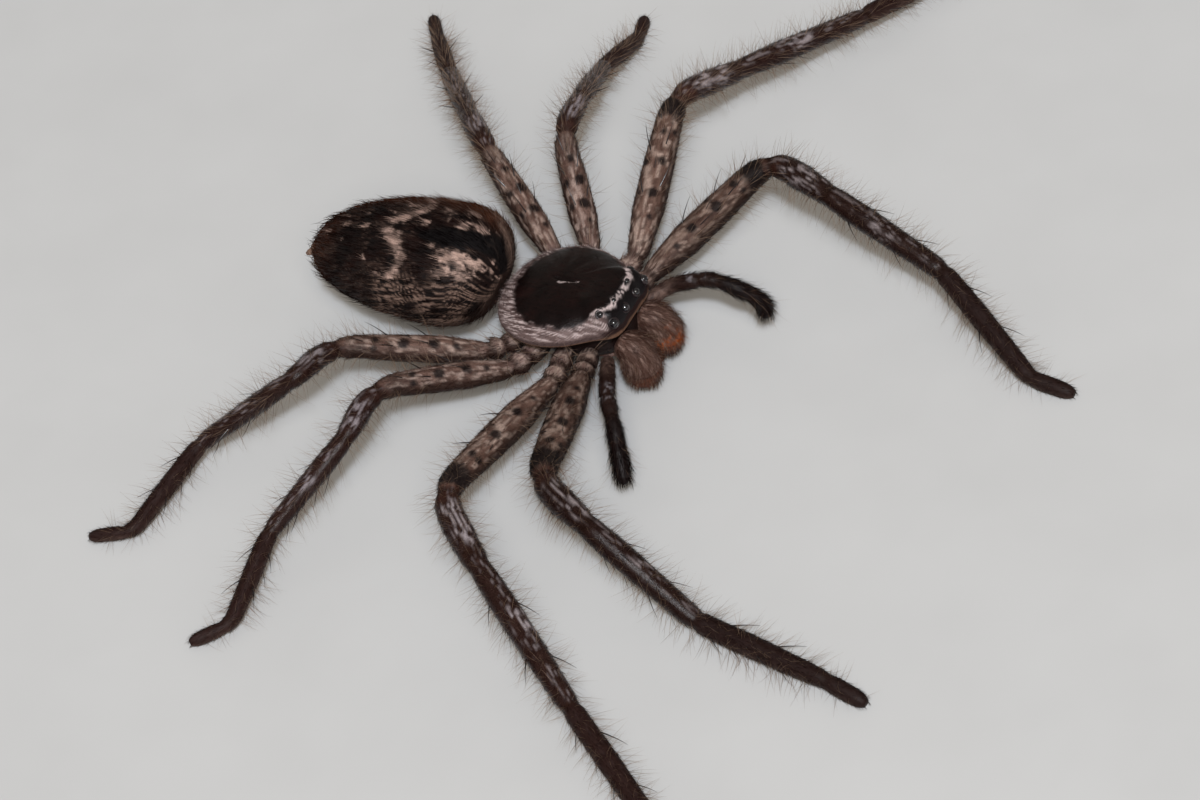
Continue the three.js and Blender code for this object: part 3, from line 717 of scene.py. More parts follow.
# %% Make the sternum, the lip, the lobes and the waist
STERNUM_HALF = [(2.9, 0), (2.85, 1.75), (1.2, 2.7), (-0.6, 2.75), (-2.4, 2.15), (-3.6, 1.0), (-4.15, 0)]
STERNUM_PROFILE = [
    (0.05, 3.0), (0.4, 3.0), (0.75, 3.03), (0.9, 3.1), (0.97, 3.2), (1, 3.32), (1, 3.45), (0.97, 3.6),
    (0.9, 3.72), (0.05, 3.74),
]
STERNUM_BROWN, LIP_TAN = paint("4a3530"), paint("6d5449")
LOBES = {
    "mouth_lip": (0, 0.75, 1.3), "mouth_lobe_left": (1.55, 0.7, 2.2), "mouth_lobe_right": (-1.55, 0.7, 2.2)
}
WAIST = [(-4.3, 4.62), (-4.8, 4.66), (-5.5, 4.76), (-6.1, 4.86), (-6.5, 4.92)]
WAIST_RADII = [0.8, 0.66, 0.58, 0.62, 0.7]


def make_sternum():
    """A low plate with a rounded edge."""
    corners = STERNUM_HALF + [(forward, -left) for forward, left in STERNUM_HALF[-2:0:-1]]
    outline = closed_curve(corners, np.linspace(0, 1, 96, endpoint=False))
    rings = []
    for share, height in STERNUM_PROFILE:
        middle = np.array([-0.6, 0])
        flat = middle + (outline - middle) * share
        rings.append(np.column_stack([flat, np.full(len(flat), height)]))
    rings = np.array(rings)
    colour = cover(np.broadcast_to(STERNUM_BROWN, rings.shape), LIP_TAN, 0.6 * field(rings, 0.5, 61))
    back = np.broadcast_to([-1.0, 0, 0], rings.shape)
    return loft(
        "sternum_plate", rings, back, colour, hair_length=0.8, hair_density=0.5, hair_rise=0.35, gloss=0.5
    )


def make_lobe(name, out, half_width, length):
    """One rounded lobe of the mouth."""
    bow = np.linspace(0.06, np.pi - 0.06, 18)[:, None]
    angle = np.linspace(0, 2 * np.pi, 24, endpoint=False)[None]
    forward = STERNUM_HALF[0][0] + length * (0.25 + 0.72 * np.cos(bow)) + 0 * angle
    left = out + half_width * np.sin(bow) ** 0.8 * np.sin(angle)
    up = 3.38 + 0.36 * np.sin(bow) ** 0.8 * np.cos(angle)
    rings = np.stack([forward, left, up], axis=-1)
    colour = cover(np.broadcast_to(STERNUM_BROWN, rings.shape), LIP_TAN, fade(4, 5.5, forward))
    ahead = np.broadcast_to([1.0, 0, 0], rings.shape)
    return loft(name, rings, ahead, colour, hair_length=0.7, hair_density=0.6, hair_rise=0.5, gloss=0.4)


def make_waist():
    """The short waist, a tube that widens into both halves of the body."""
    forward = np.linspace(WAIST[0][0], WAIST[-1][0], 16)
    places = [place for place, _ in WAIST][::-1]
    height = np.interp(forward, places, [up for _, up in WAIST][::-1])
    radius = np.interp(forward, places, WAIST_RADII[::-1])[:, None]
    angle = np.linspace(0, 2 * np.pi, 32, endpoint=False)[None]
    across = radius * np.sin(angle)
    rings = np.stack(
        [forward[:, None] + 0 * angle, across, height[:, None] + radius * np.cos(angle)], axis=-1
    )
    colour = np.broadcast_to(CORE_BROWN, rings.shape)
    return loft("waist", rings, np.broadcast_to([-1.0, 0, 0], rings.shape), colour, gloss=0.5)


sternum_plate = make_sternum()
mouth_parts = [make_lobe(name, *sizes) for name, sizes in LOBES.items()]
waist = make_waist()
print("underside pieces:", 2 + len(mouth_parts))

# %% [markdown]
# ### The abdomen
# The rear half is a long, soft egg, blunt in front and drawn in under the tail. It is the same egg as
# the solid, in fine rings. Its pattern is placed by share of its length and by angle from the top: a
# black stripe over the heart with pale ragged patches beside it, two pale crescents behind, a
# scatter of small spots, and fine wavy streaks along the flanks.

# %% The abdomen's shape
ABDOMEN_FRONT, ABDOMEN_BACK = -5.9, -24.7
ABDOMEN_HEIGHTS = (8.15, 6.8)
ABDOMEN_HALF_WIDTH, ABDOMEN_HALF_HEIGHT = 6.2, 4.95
WIDEST, FRONT_POWER, BACK_POWER, BELLY_TAPER = 0.34, 3.5, 2.05, 0.42
ABDOMEN_LENGTH = ABDOMEN_FRONT - ABDOMEN_BACK


def abdomen_fullness(share):
    """The size of the abdomen's section at a share of its length, from 0 at its ends to 1."""
    before = np.clip((WIDEST - share) / WIDEST, 0, 1) ** FRONT_POWER
    after = np.clip((share - WIDEST) / (1 - WIDEST), 0, 1) ** BACK_POWER
    return np.sqrt(np.maximum(0, 1 - np.where(share < WIDEST, before, after)))


def on_abdomen(share, angle, inset=0.0):
    """A point on the abdomen: share of its length from the front, and degrees from the top to the left."""
    share, angle = np.broadcast_arrays(np.asarray(share, float), np.radians(angle))
    full = abdomen_fullness(share)
    taper = np.where(np.cos(angle) < 0, 1 - BELLY_TAPER * share, 1)
    forward = ABDOMEN_FRONT - inset + share * (ABDOMEN_BACK - ABDOMEN_FRONT + 2 * inset)
    left = full * (ABDOMEN_HALF_WIDTH - inset) * np.sin(angle)
    middle = ABDOMEN_HEIGHTS[0] + share * (ABDOMEN_HEIGHTS[1] - ABDOMEN_HEIGHTS[0])
    return np.stack(
        [forward, left, middle + full * (ABDOMEN_HALF_HEIGHT - inset) * taper * np.cos(angle)], axis=-1
    )


# %% The abdomen's markings
PATTERN_MIDDLE = -11  # degrees: the pattern sits a little to the right of the top
HEART_STRIPE = [
    (0, 0.6, 0.95), (0.05, 0.1, 0.95), (0.13, -0.9, 1.1), (0.2, -1.2, 1.05), (0.27, -1.35, 0.95),
    (0.33, -1.45, 0.45), (0.36, -1.45, 0.0),
]
# Pale patches and spots: share of the length, degrees, half length and half width in mm, strength.
PALE_PATCHES = [
    (0.05, -30, 0.75, 0.8, 0.9), (0.13, -33, 0.9, 0.75, 1), (0.2, -28, 0.75, 0.6, 1),
    (0.26, -24, 0.5, 0.45, 0.8),
    (0.19, -46, 0.8, 0.4, 0.7), (0.1, -46, 0.7, 0.45, 0.6), (0.03, 8, 0.5, 0.9, 0.9),
    (0.09, 10, 0.6, 0.6, 0.8),
    (0.17, 5, 0.55, 0.75, 1), (0.24, 9, 0.75, 0.55, 1), (0.29, 18, 0.4, 0.5, 0.7), (0.16, 22, 0.6, 0.4, 0.5),
    (0.48, 19, 0.5, 0.5, 0.9), (0.35, -2, 0.35, 0.3, 0.8), (0.502, -60, 0.4, 0.3, 0.6),
    (0.623, -36, 0.28, 0.24, 0.9), (0.59, -44, 0.28, 0.24, 0.8), (0.656, -12, 0.28, 0.24, 0.9),
    (0.694, 4, 0.28, 0.24, 0.9),
    (0.773, -9, 0.25, 0.22, 0.9), (0.804, 6, 0.25, 0.22, 0.8), (0.766, -30, 0.22, 0.2, 0.8),
    (0.54, 4, 0.28, 0.25, 0.8),
    (0.349, -21, 0.3, 0.25, 0.7), (0.462, -5, 0.25, 0.25, 0.6), (0.453, -17, 0.25, 0.25, 0.6),
    (0.87, -20, 0.2, 0.2, 0.6),
]
# share, degrees from the middle
CRESCENT = [(0.52, 6), (0.455, 14), (0.41, 24), (0.385, 31), (0.405, 38), (0.44, 46)]
ABDOMEN_BLACK, ABDOMEN_BROWN, ABDOMEN_RUST = paint("070303"), paint("22110d"), paint("552f1c")
HEART_BLACK, PATCH_PALE, STREAK_PALE, BELLY_BROWN = paint("060304"), paint("b3978a"), paint("826a5e"), paint(
    "33221c"
)


def abdomen_colours(points, share, angle):
    """The abdomen's colour at each point. Angles run in degrees from the top, to the left above 0."""
    girth = 5.7 * abdomen_fullness(share)
    aside = np.radians(angle - PATTERN_MIDDLE) * girth
    along = share * ABDOMEN_LENGTH
    stretched = np.stack([along / 3.2, aside, 0 * aside], axis=-1)
    hairs = ragged(stretched, 0.28, 71)
    rough = ragged(points, 0.8, 72) * 0.8 + hairs
    fine = field(stretched, 0.2, 74)

    colour = cover(
        np.broadcast_to(ABDOMEN_BLACK, points.shape), ABDOMEN_BROWN, 1.2 * field(points, 1.4, 75) * fine
    )
    rust = np.maximum(fade(12, 42, angle), 0.55 * fade(0.75, 0.97, share)) * fade(0.02, 0.12, share)
    colour = cover(colour, ABDOMEN_RUST, 0.85 * rust * (0.4 + 0.7 * fine))
    slant = aside - np.sign(angle) * (0.3 * along + 0.2 * np.sin(along * 0.9 + 3 * field(points, 2.5, 76)))
    strands = streaks(along * 0.8, slant, 77, length=0.8, width=0.085)
    waves = fade(0.5, 0.72, strands + 0.25 * ragged(points, 0.9, 73) + 0.15 * hairs)
    flank = fade(38, 55, np.abs(angle + 8)) * fade(140, 112, np.abs(angle)) * fade(0.66, 0.45, share)
    colour = cover(colour, STREAK_PALE, 0.9 * waves * flank * fade(0.2, 0.5, field(points, 1.8, 78)))
    faint = fade(0.55, 0.8, streaks(along, slant, 80, length=0.8, width=0.12))
    clumps = fade(0.3, 0.48, field(points, 0.6, 82))
    colour = cover(colour, STREAK_PALE, 0.18 * faint * (1 - flank) * fade(0.35, 0.6, field(points, 1.1, 79)))

    for place, degrees, half_long, half_wide, strength in PALE_PATCHES:
        side = np.radians(angle - degrees) * girth
        away = np.hypot((share - place) * ABDOMEN_LENGTH / half_long, side / half_wide)
        mask = fade(1.2, 0.7, away + 2.3 * rough) * (0.3 + 0.7 * fade(0.3, 0.55, fine)) * clumps
        colour = cover(colour, PATCH_PALE, strength * mask)
    corners = np.array([(place * ABDOMEN_LENGTH, np.radians(degrees) * 5.7) for place, degrees in CRESCENT])
    for mirror in (1, -1):
        spots = np.stack([along, aside * mirror], axis=-1)
        arc = fade(0.55, 0.2, away_from_line(spots, corners) + 0.7 * rough)
        colour = cover(
            colour, PATCH_PALE, 0.9 * arc * (0.5 + 0.5 * fade(0.25, 0.5, fine)) * (0.45 + 0.55 * clumps)
        )
    places, middles, halves = np.array(HEART_STRIPE).T
    inside = np.interp(share, places, halves) - np.abs(
        np.radians(angle) * girth - np.interp(share, places, middles)
    )
    colour = cover(colour, HEART_BLACK, 0.97 * fade(-0.12, 0.2, inside + 0.55 * rough))
    belly = fade(105, 135, np.abs(angle))
    return cover(colour, BELLY_BROWN, 0.7 * belly * (0.6 + 0.5 * fine))


# %% Make the abdomen
ABDOMEN_RINGS, ABDOMEN_SIDES = 170, 208


def make_abdomen():
    """The abdomen's skin, a little inside the solid, with its markings and the lie of its coat."""
    bow = np.linspace(0.02, np.pi - 0.02, ABDOMEN_RINGS)
    turns = np.linspace(0, 360, ABDOMEN_SIDES, endpoint=False)
    angle, share = np.meshgrid((turns + 180) % 360 - 180, (1 - np.cos(bow)) / 2)
    rings = on_abdomen(share, angle, inset=0.12)
    ahead = on_abdomen(np.minimum(share + 0.01, 1), angle, inset=0.12)
    lie = unit(ahead - rings + 1e-6)
    rings = rings + 0.1 * (field(rings, 2.2, 81)[..., None] - 0.5) * unit(rings - [-13.5, 0, 7.4])
    return loft(
        "abdomen_skin",
        rings,
        lie=lie,
        colour=abdomen_colours(rings, share, angle),
        hair_length=0.5 + 0.5 * fade(0.0, 0.06, share) + 0.4 * fade(0.6, 1, share),
        hair_density=1.0,
        hair_rise=0.22,
        gloss=0.2,
    )


abdomen_skin = make_abdomen()
print("abdomen faces:", len(abdomen_skin.data.polygons))

# %% [markdown]
# ### The spinnerets
# They are a few short fingers on a round base under the tail.

# %% Make the spinnerets
SPINNERET_SHARE = 0.985
SPINNERET_FINGERS = [(1, 1, 1.0), (-1, 1, 1.0), (1, -1, 0.85), (-1, -1, 0.85)]


def spike_rings(root, direction, lengths, radii, sides=12):
    """Rings of a straight round spike from a root, at lengths along a direction."""
    across = unit(np.cross(direction, [0.3, 0.1, 0.95]))
    above = np.cross(across, direction)
    angle = np.linspace(0, 2 * np.pi, sides, endpoint=False)[None, :, None]
    outward = across * np.cos(angle) + above * np.sin(angle)
    return root + np.array(lengths)[:, None, None] * direction + outward * np.array(radii)[:, None, None]


def make_spinnerets():
    """The round base and its four fingers, as one piece."""
    surface = on_abdomen(SPINNERET_SHARE, 180)
    slope = unit(on_abdomen(SPINNERET_SHARE + 0.005, 180) - on_abdomen(SPINNERET_SHARE - 0.005, 180))
    outward = np.cross(slope, [0.0, 1, 0])
    outward = outward if outward[2] < 0 or outward[0] < 0 else -outward
    base = spike_rings(surface, outward, (-0.5, 0.3, 0.62, 0.76), (0.95, 0.86, 0.78, 0.6), 28)
    pieces = [loft("spinneret_base", base)]
    for out, up, size in SPINNERET_FINGERS:
        aside = np.array([0, out * 0.38, 0]) + slope * up * 0.38
        root = surface + outward * 0.8 + aside
        direction = unit(outward + 0.35 * aside)
        lengths = [-0.35, 0.2 * size, 0.45 * size, 0.5 * size, 0.68 * size, 0.75 * size]
        rings = spike_rings(root, direction, lengths, (0.34, 0.31, 0.27, 0.22, 0.19, 0.1), 16)
        pieces.append(loft(f"spinneret_{out}_{up}", rings))
    return pieces


spinneret_pieces = make_spinnerets()
print("spinneret pieces:", len(spinneret_pieces))

# %% [markdown]
# ### The jaws and fangs
# The jaws are two heavy, hairy bulbs that hang under the face, and each ends in a curved fang that
# folds inwards. Both are lofts along the same lines as the solids.

# %% Lines and sizes of the jaws and fangs
JAW_LINE = [(5.7, 1.75, 5.1), (7.0, 1.95, 4.7), (7.7, 2.1, 3.3), (7.35, 2.15, 1.2)]
JAW_WIDTHS = [(0, 1.0), (0.08, 1.3), (0.35, 1.68), (0.65, 1.66), (0.88, 1.35), (0.97, 0.9), (1, 0.6)]
JAW_DEPTH = 1.08
FANG_LINE = [(7.4, 2.2, 1.6), (7.8, 2.0, 0.3), (6.7, 0.8, 0.45)]  # the first point is inside the jaw
JAW_BROWN, JAW_GREY, JAW_RUST, JAW_RED = paint("351c12"), paint("6c544b"), paint("b4561a"), paint("2c0b08")


def open_curve(corners, share):
    """A smooth open curve through corners, at shares from its start to its end."""
    corners = np.array(corners, float)
    ends = 2 * corners[[0, -1]] - corners[[1, -2]]
    corners = np.concatenate([ends[:1], corners, ends[1:]])
    place = np.clip(share, 0, 0.99999) * (len(corners) - 3)
    i = np.floor(place).astype(int)
    t = (place - i)[..., None]
    return between(*(corners[i + step] for step in range(4)), t)


def curve_rings(corners, share, half_width, sides, flatness=1.0):
    """Rings round a smooth curve, with each point's angle from the top and the direction along it."""
    along = unit(open_curve(corners, share + 0.01) - open_curve(share=share - 0.01, corners=corners))
    up = unit(np.array([0, 0, 1.0]) - along * along[..., 2:])
    along, up, across = along[:, None], up[:, None], np.cross(along, up)[:, None]
    angle = np.linspace(0, 2 * np.pi, sides, endpoint=False)[None, :, None]
    outward = up * np.cos(angle) * flatness + across * np.sin(angle)
    rings = open_curve(corners, share)[:, None] + outward * np.asarray(half_width)[:, None, None]
    signed = (np.degrees(angle[..., 0]) + 180) % 360 - 180
    return rings, np.broadcast_to(signed, rings.shape[:2]), np.broadcast_to(along, rings.shape)


def round_ends(share, count):
    """Shares that crowd towards both ends, so that a rounded end gets enough rings."""
    return share[0] + (share[1] - share[0]) * (1 - np.cos(np.linspace(0, np.pi, count))) / 2


# %% Make the jaws and the fangs
JAW_RUST_SHARE = {"left": 0.85, "right": 0.12}


def make_jaw(side):
    """One jaw: a bulb with a rust-red tip and a grey back."""
    corners = [(forward, SIDES[side] * out, up) for forward, out, up in JAW_LINE]
    share = round_ends((0, 1), 70)
    width = np.interp(share, *np.array(JAW_WIDTHS).T)
    window = np.hanning(9)
    width = np.convolve(np.pad(width, 4, mode="edge"), window / window.sum(), mode="valid") - 0.05
    rings, angle, along = curve_rings(corners, share, width, 64, JAW_DEPTH)
    rough, fine = ragged(rings, 0.5, 91), field(rings, 0.22, 92)
    down = np.broadcast_to(share[:, None], angle.shape)
    hairs = streaks(share[:, None] * 6.5, np.radians(angle) * 1.5, 93, length=0.5, width=0.055)
    colour = cover(
        np.broadcast_to(JAW_BROWN, rings.shape), JAW_GREY,
        (0.25 + 0.5 * fade(0.3, 0.8, hairs)) * fade(0.95, 0.6, down),
    )
    colour = cover(colour, PATCH_PALE, 0.3 * fade(0.68, 0.85, hairs) * fade(0.8, 0.4, down))
    inner = angle * SIDES[side]
    facing = fade(0, 50, inner + 40 * rough) * fade(160, 120, inner)
    low = fade(0.45, 0.75, down + 0.3 * rough) * fade(0.97, 0.86, down) * facing
    colour = cover(colour, JAW_RUST, JAW_RUST_SHARE[side] * low * fade(0.3, 0.6, fine))
    colour = cover(colour, JAW_RED, 0.85 * fade(0.88, 0.97, down))
    return loft(
        f"jaw_{side}_skin",
        rings,
        along,
        colour,
        hair_length=1.3 - 0.4 * down,
        fringe=0.8 * fade(0.1, 0.3, down) * fade(0.97, 0.85, down),
        hair_density=fade(0.05, 0.15, down) * fade(0.98, 0.9, down),
        hair_rise=0.45,
        gloss=0.45,
    )


def make_fang(side):
    """One fang, from its root in the jaw to its tip under the mouth."""
    start, middle, end = (np.array([forward, SIDES[side] * out, up]) for forward, out, up in FANG_LINE)
    t = np.linspace(0, 1, 28)[:, None]
    line = (1 - t) ** 2 * start + 2 * t * (1 - t) * middle + t**2 * end
    along = unit(np.gradient(line, axis=0))
    up = unit(np.array([0, 0, 1.0]) - along * along[:, 2:])
    across = np.cross(along, up)
    angle = np.linspace(0, 2 * np.pi, 20, endpoint=False)[None, :, None]
    radius = (0.33 - 0.27 * t**1.3) * np.sqrt(np.clip((1.02 - t) / 0.12, 0, 1))
    outward = up[:, None] * np.cos(angle) + across[:, None] * np.sin(angle)
    return loft(f"fang_{side}_blade", line[:, None] + outward * radius[:, None])


jaw_skins = {side: make_jaw(side) for side in SIDES}
fang_blades = {side: make_fang(side) for side in SIDES}
print("jaws and fangs:", len(jaw_skins) + len(fang_blades))

# %% [markdown]
# ### The palps
# A pair of short feelers beside the jaws, built like small legs without the metatarsus. The left one
# reaches forward in a bow, the right one hangs down to the side.

# %% Make the palps
PALP_LINES = {
    "left": [
        (5.35, 3.75, 4.7), (7, 5.25, 5.6), (8.9, 5.9, 6.2), (10.6, 6.4, 6.4),
        (13.1, 6.6, 5.8), (14.8, 7.1, 4.3), (15, 7.1, 2.7),
    ],
    "right": [
        (5.45, 3.75, 4.75), (6.8, 6.25, 5.6), (8.2, 8.9, 5.9), (9.9, 11.3, 5.5),
        (11.1, 13.1, 4.3), (12.3, 14.9, 2.7),
    ],
}
PALP_WIDTHS = [
    (0, 0.45), (0.03, 0.64), (0.15, 0.68), (0.3, 0.72), (0.36, 0.72), (0.4, 0.62), (0.44, 0.7), (0.51, 0.7),
    (0.545, 0.6), (0.6, 0.7), (0.68, 0.74), (0.74, 0.66), (0.8, 0.75), (0.92, 0.72), (0.965, 0.6),
    (0.985, 0.44), (1, 0.2),
]
PALP_JOINTS = (0.4, 0.545, 0.74)
PALP_BROWN, PALP_DARK = paint("241410"), paint("0e0707")


def make_palp(side):
    """One palp's skin, with shallow creases at its joints."""
    corners = [(forward, SIDES[side] * out, up) for forward, out, up in PALP_LINES[side]]
    share = np.concatenate([np.linspace(0, 0.94, 90), 1 - 0.06 * np.cos(np.linspace(0.1, np.pi / 2, 14))])
    width = np.interp(share, *np.array(PALP_WIDTHS).T) - 0.05
    rings, angle, along = curve_rings(corners, share, width, 36)
    rough, fine = ragged(rings, 0.5, 95), field(rings, 0.25, 96)
    down = np.broadcast_to(share[:, None], angle.shape)
    colour = cover(
        np.broadcast_to(PALP_BROWN, rings.shape), GREY_PINK, fade(0.3, 0.1, down + 0.1 * rough) * fine
    )
    colour = cover(colour, PALP_DARK, 0.8 * fade(0.42, 0.62, down + 0.1 * rough))
    grey = fade(0.3, 0.34, down) * fade(0.5, 0.4, down) * fade(80, 20, np.abs(angle))
    colour = cover(colour, SILVER, 0.4 * grey * fade(0.5, 0.75, fine))
    for joint in PALP_JOINTS:
        colour = cover(colour, EDGE_BROWN, 0.5 * fade(0.02, 0.005, np.abs(down - joint)))
    return loft(
        f"palp_{side}_skin",
        rings,
        along,
        colour,
        hair_length=0.8 + 0.4 * fade(0.5, 0.8, down) * fade(1.0, 0.97, down),
        hair_density=fade(0.02, 0.08, down),
        hair_rise=0.5,
        fringe=0.6 * fade(0.15, 0.3, down) * fade(0.98, 0.9, down),
        gloss=0.5,
    )


palp_skins = {side: make_palp(side) for side in SIDES}
print("palps:", len(palp_skins))

# %% [markdown]
# ### The eyes
# Eight small domes in two rows, each a clear black lens in a low dark ring. A lens is made by turning
# an arc round the direction in which the eye looks.

# %% Make the eyes
EYE_RINGS, EYE_SIDES = 26, 40


def make_eye(name, centre, radius):
    """A lens that stands out of the carapace and looks outwards and up."""
    look = unit(np.array([centre[0] - 2.5, centre[1] * 1.1, centre[2] - 5.2]))
    bow = np.linspace(0.05, np.pi - 0.05, EYE_RINGS)
    return loft(
        name + "_lens", spike_rings(centre, look, radius * np.cos(bow), radius * np.sin(bow), EYE_SIDES)
    )


def make_eye_ring(name, centre, radius):
    """The low ring of shell round a lens."""
    look = unit(np.array([centre[0] - 2.5, centre[1] * 1.1, centre[2] - 5.2]))
    lengths = np.array([-0.5, 0.0, 0.14, 0.22, 0.24, 0.2, 0.05]) * radius * 1.4
    radii = np.array([1.45, 1.38, 1.3, 1.2, 1.08, 0.98, 0.9]) * radius
    return loft(name + "_ring", spike_rings(centre, look, lengths, radii, EYE_SIDES))


eye_lenses = {name: make_eye(name, *place) for name, place in eye_places.items()}
eye_rings = {name: make_eye_ring(name, *place) for name, place in eye_places.items()}
print("eyes:", len(eye_lenses))

# %% [markdown]
# ### Finishes
# The skins share one finish: its colour comes from the painted markings, made finer by two noises,
# and its gloss from the skin's own numbers. Eyes, fangs and claws are smooth and hard, so they get
# clear dark finishes of their own. The hairs take the colour of the skin at their root.

# %% Tools for materials
def plug(tree, node, sockets):
    """Sets or links a node's inputs, each told by its name or, as _0 or _1, by its place."""
    for key, value in sockets.items():
        place = int(key[1:]) if key[0] == "_" and key[1:].isdigit() else key.replace("_", " ")
        if isinstance(value, bpy.types.NodeSocket):
            tree.links.new(value, node.inputs[place])
        else:
            node.inputs[place].default_value = value
    return node


def new_material(name):
    """A material with its shader, its tree and short ways to add and join nodes."""
    material = bpy.data.materials.new(name)
    material.use_nodes = True
    tree = material.node_tree
    shader = next(node for node in tree.nodes if node.type == "BSDF_PRINCIPLED")

    def add(kind, **sockets):
        node = tree.nodes.new(kind)
        return plug(tree, node, sockets)

    return material, tree, shader, add


def read(add, name, output="Fac"):
    """A number or colour that the mesh carries at each point."""
    node = add("ShaderNodeAttribute")
    node.attribute_name = name
    return node.outputs[output]


def noise(add, scale, detail=3.0, vector=None):
    """A fine noise on object coordinates, its scale in blobs per metre."""
    where = vector or add("ShaderNodeTexCoord").outputs["Object"]
    return add("ShaderNodeTexNoise", Vector=where, Scale=scale, Detail=detail, Roughness=0.6).outputs["Fac"]


def spread(add, value, low, high, to_low, to_high):
    """Maps a number from one range to another."""
    node = add("ShaderNodeMapRange", Value=value, From_Min=low, From_Max=high, To_Min=to_low, To_Max=to_high)
    return node.outputs["Result"]


def bright(add, colour, strength):
    """A colour made lighter or darker by a number around 1."""
    node = add("ShaderNodeHueSaturation", Color=colour, Value=strength)
    return node.outputs["Color"]


def bump(add, height, strength, distance):
    return add("ShaderNodeBump", Height=height, Strength=strength, Distance=distance).outputs["Normal"]


# %% Make the finishes
def skin_finish():
    """The painted skin, with a fine grain of short flat hairs in its colour and bump."""
    material, tree, shader, add = new_material("skin")
    grain = noise(add, 9000, 4)
    blotch = noise(add, 1400, 3)
    shade = add(
        "ShaderNodeMath", _0=spread(add, grain, 0.3, 0.7, 0.72, 1.28),
        _1=spread(add, blotch, 0.3, 0.7, 0.88, 1.12),
    )
    shade.operation = "MULTIPLY"
    colour = bright(add, read(add, "coat_colour", "Color"), shade.outputs[0])
    tree.links.new(colour, shader.inputs["Base Color"])
    gloss = read(add, "gloss")
    rough = add(
        "ShaderNodeMath", _0=spread(add, gloss, 0, 1, 0.72, 0.27),
        _1=spread(add, grain, 0.3, 0.7, -0.06, 0.08),
    )
    tree.links.new(rough.outputs[0], shader.inputs["Roughness"])
    tree.links.new(bump(add, grain, 0.5, 0.00006), shader.inputs["Normal"])
    shader.inputs["Specular IOR Level"].default_value = 0.2
    return material


def hard_finish(name, colour, roughness, coat=0.0, scale=2500, varied=0.2):
    """A smooth, hard finish whose colour and gloss vary a little."""
    material, tree, shader, add = new_material(name)
    grain = noise(add, scale)
    rgba = (*paint(colour), 1)
    tree.links.new(
        bright(add, rgba, spread(add, grain, 0.3, 0.7, 1 - varied, 1 + varied)), shader.inputs["Base Color"]
    )
    tree.links.new(spread(add, grain, 0.3, 0.7, roughness * 0.8, roughness * 1.2), shader.inputs["Roughness"])
    tree.links.new(bump(add, grain, 0.15, 0.00003), shader.inputs["Normal"])
    shader.inputs["Coat Weight"].default_value = coat
    shader.inputs["Coat Roughness"].default_value = 0.12
    return material


skin = skin_finish()
eye_black = hard_finish("eye_black", "0b0a10", 0.16, coat=1.0)
eye_ring_brown = hard_finish("eye_ring_brown", "1f1516", 0.35)
fang_black = hard_finish("fang_black", "160b0a", 0.22, coat=0.4, varied=0.5)
claw_black = hard_finish("claw_black", "130c0b", 0.3)
spine_black = hard_finish("spine_black", "171011", 0.35)
spinneret_tan = hard_finish("spinneret_tan", "7d6151", 0.7, scale=5000, varied=0.3)
print("finishes:", len(bpy.data.materials))

# %% [markdown]
# ### Claws and spines
# Each foot ends in two curved claws under a tuft. Stout black spines stand in rings on femur, tibia
# and metatarsus. They grow where the solids' spines grow, drawn from the same seeded numbers, but
# are as thin as real ones, and a few more stand between them.

# %% Numbers for the spines
SPINE_LENGTH, SPINE_LEAN, SPINE_JITTER = 2.3, 38, 9
SPINE_RINGS = {
    "femur": [(0.35, -30), (0.4, 40), (0.62, -42), (0.66, 30)],
    "shin": [(0.5, 95), (0.53, -95), (0.76, 88), (0.79, -88)],
    "foot": [(0.1, 84), (0.14, -84), (0.38, 76), (0.42, -76)],
}
EXTRA_SPINES = {
    "femur": [(0.5, 5), (0.82, -20)],
    "shin": [(0.62, 130), (0.66, -130), (0.88, 140), (0.9, -140), (0.56, 25)],
    "foot": [(0.22, 130), (0.25, -130), (0.52, 110)],
}
draw_state = 7


def draw():
    """A number from 0 to 1, the same in each run."""
    global draw_state
    draw_state = draw_state * 16807 % 2147483647
    return draw_state / 2147483647


# %% Roots and directions of the spines and claws
def piece_spans(line):
    """Start and end of each piece of a leg along its middle line."""
    hip, knee, _, ankle, _ = line.cuts
    gap = 0.15
    return {
        "femur": (hip + gap, knee - gap), "shin": (knee + gap, ankle - gap),
        "foot": (ankle + gap, line.length),
    }


def stand(line, thick, distance, degrees):
    """The root and the direction of a spine at a distance along a leg and at degrees from its top."""
    along, up, across = line.frames(np.array(distance))
    angle = math.radians(degrees)
    outward = up * math.cos(angle) + across * math.sin(angle)
    half_width = leg_half_width(line, thick, distance) - COAT_DEPTH
    surface = half_width * (1 - (1 - LEG_FLATNESS) * abs(math.cos(angle)))
    lean = math.radians(SPINE_LEAN)
    root = line.at(distance) + outward * (surface - 0.1)
    return root, unit(along * math.cos(lean) + outward * math.sin(lean)), along


def leg_spines(side, number):
    """Rows of root, direction, bend direction and length for all spines of one leg."""
    line, thick = leg_lines[side, number], LEG_PAIRS[number - 1]["thick"]
    rows = []
    for piece, (start, end) in piece_spans(line).items():
        for place, degrees in SPINE_RINGS[piece]:
            turned = degrees + SPINE_JITTER * (2 * draw() - 1)
            length = SPINE_LENGTH * (0.85 + 0.3 * draw())
            rows.append(stand(line, thick, start + place * (end - start), turned) + (length,))
    for piece, (start, end) in piece_spans(line).items():
        for i, (place, degrees) in enumerate(EXTRA_SPINES[piece]):
            rows.append(stand(line, thick, start + place * (end - start), degrees) + (1.5 + 0.3 * (i % 2),))
    return rows


def leg_claws(side, number):
    """The two claws at the tip of a leg."""
    line = leg_lines[side, number]
    along, _, across = line.frames(np.array(line.length))
    rows = []
    for apart in (1, -1):
        root = line.at(line.length) + across * 0.28 * apart - along * 0.35
        root[2] = max(root[2], 0.3)
        rows.append((root, unit(along + [0, 0, 0.1]), along, 0.62))
    return rows

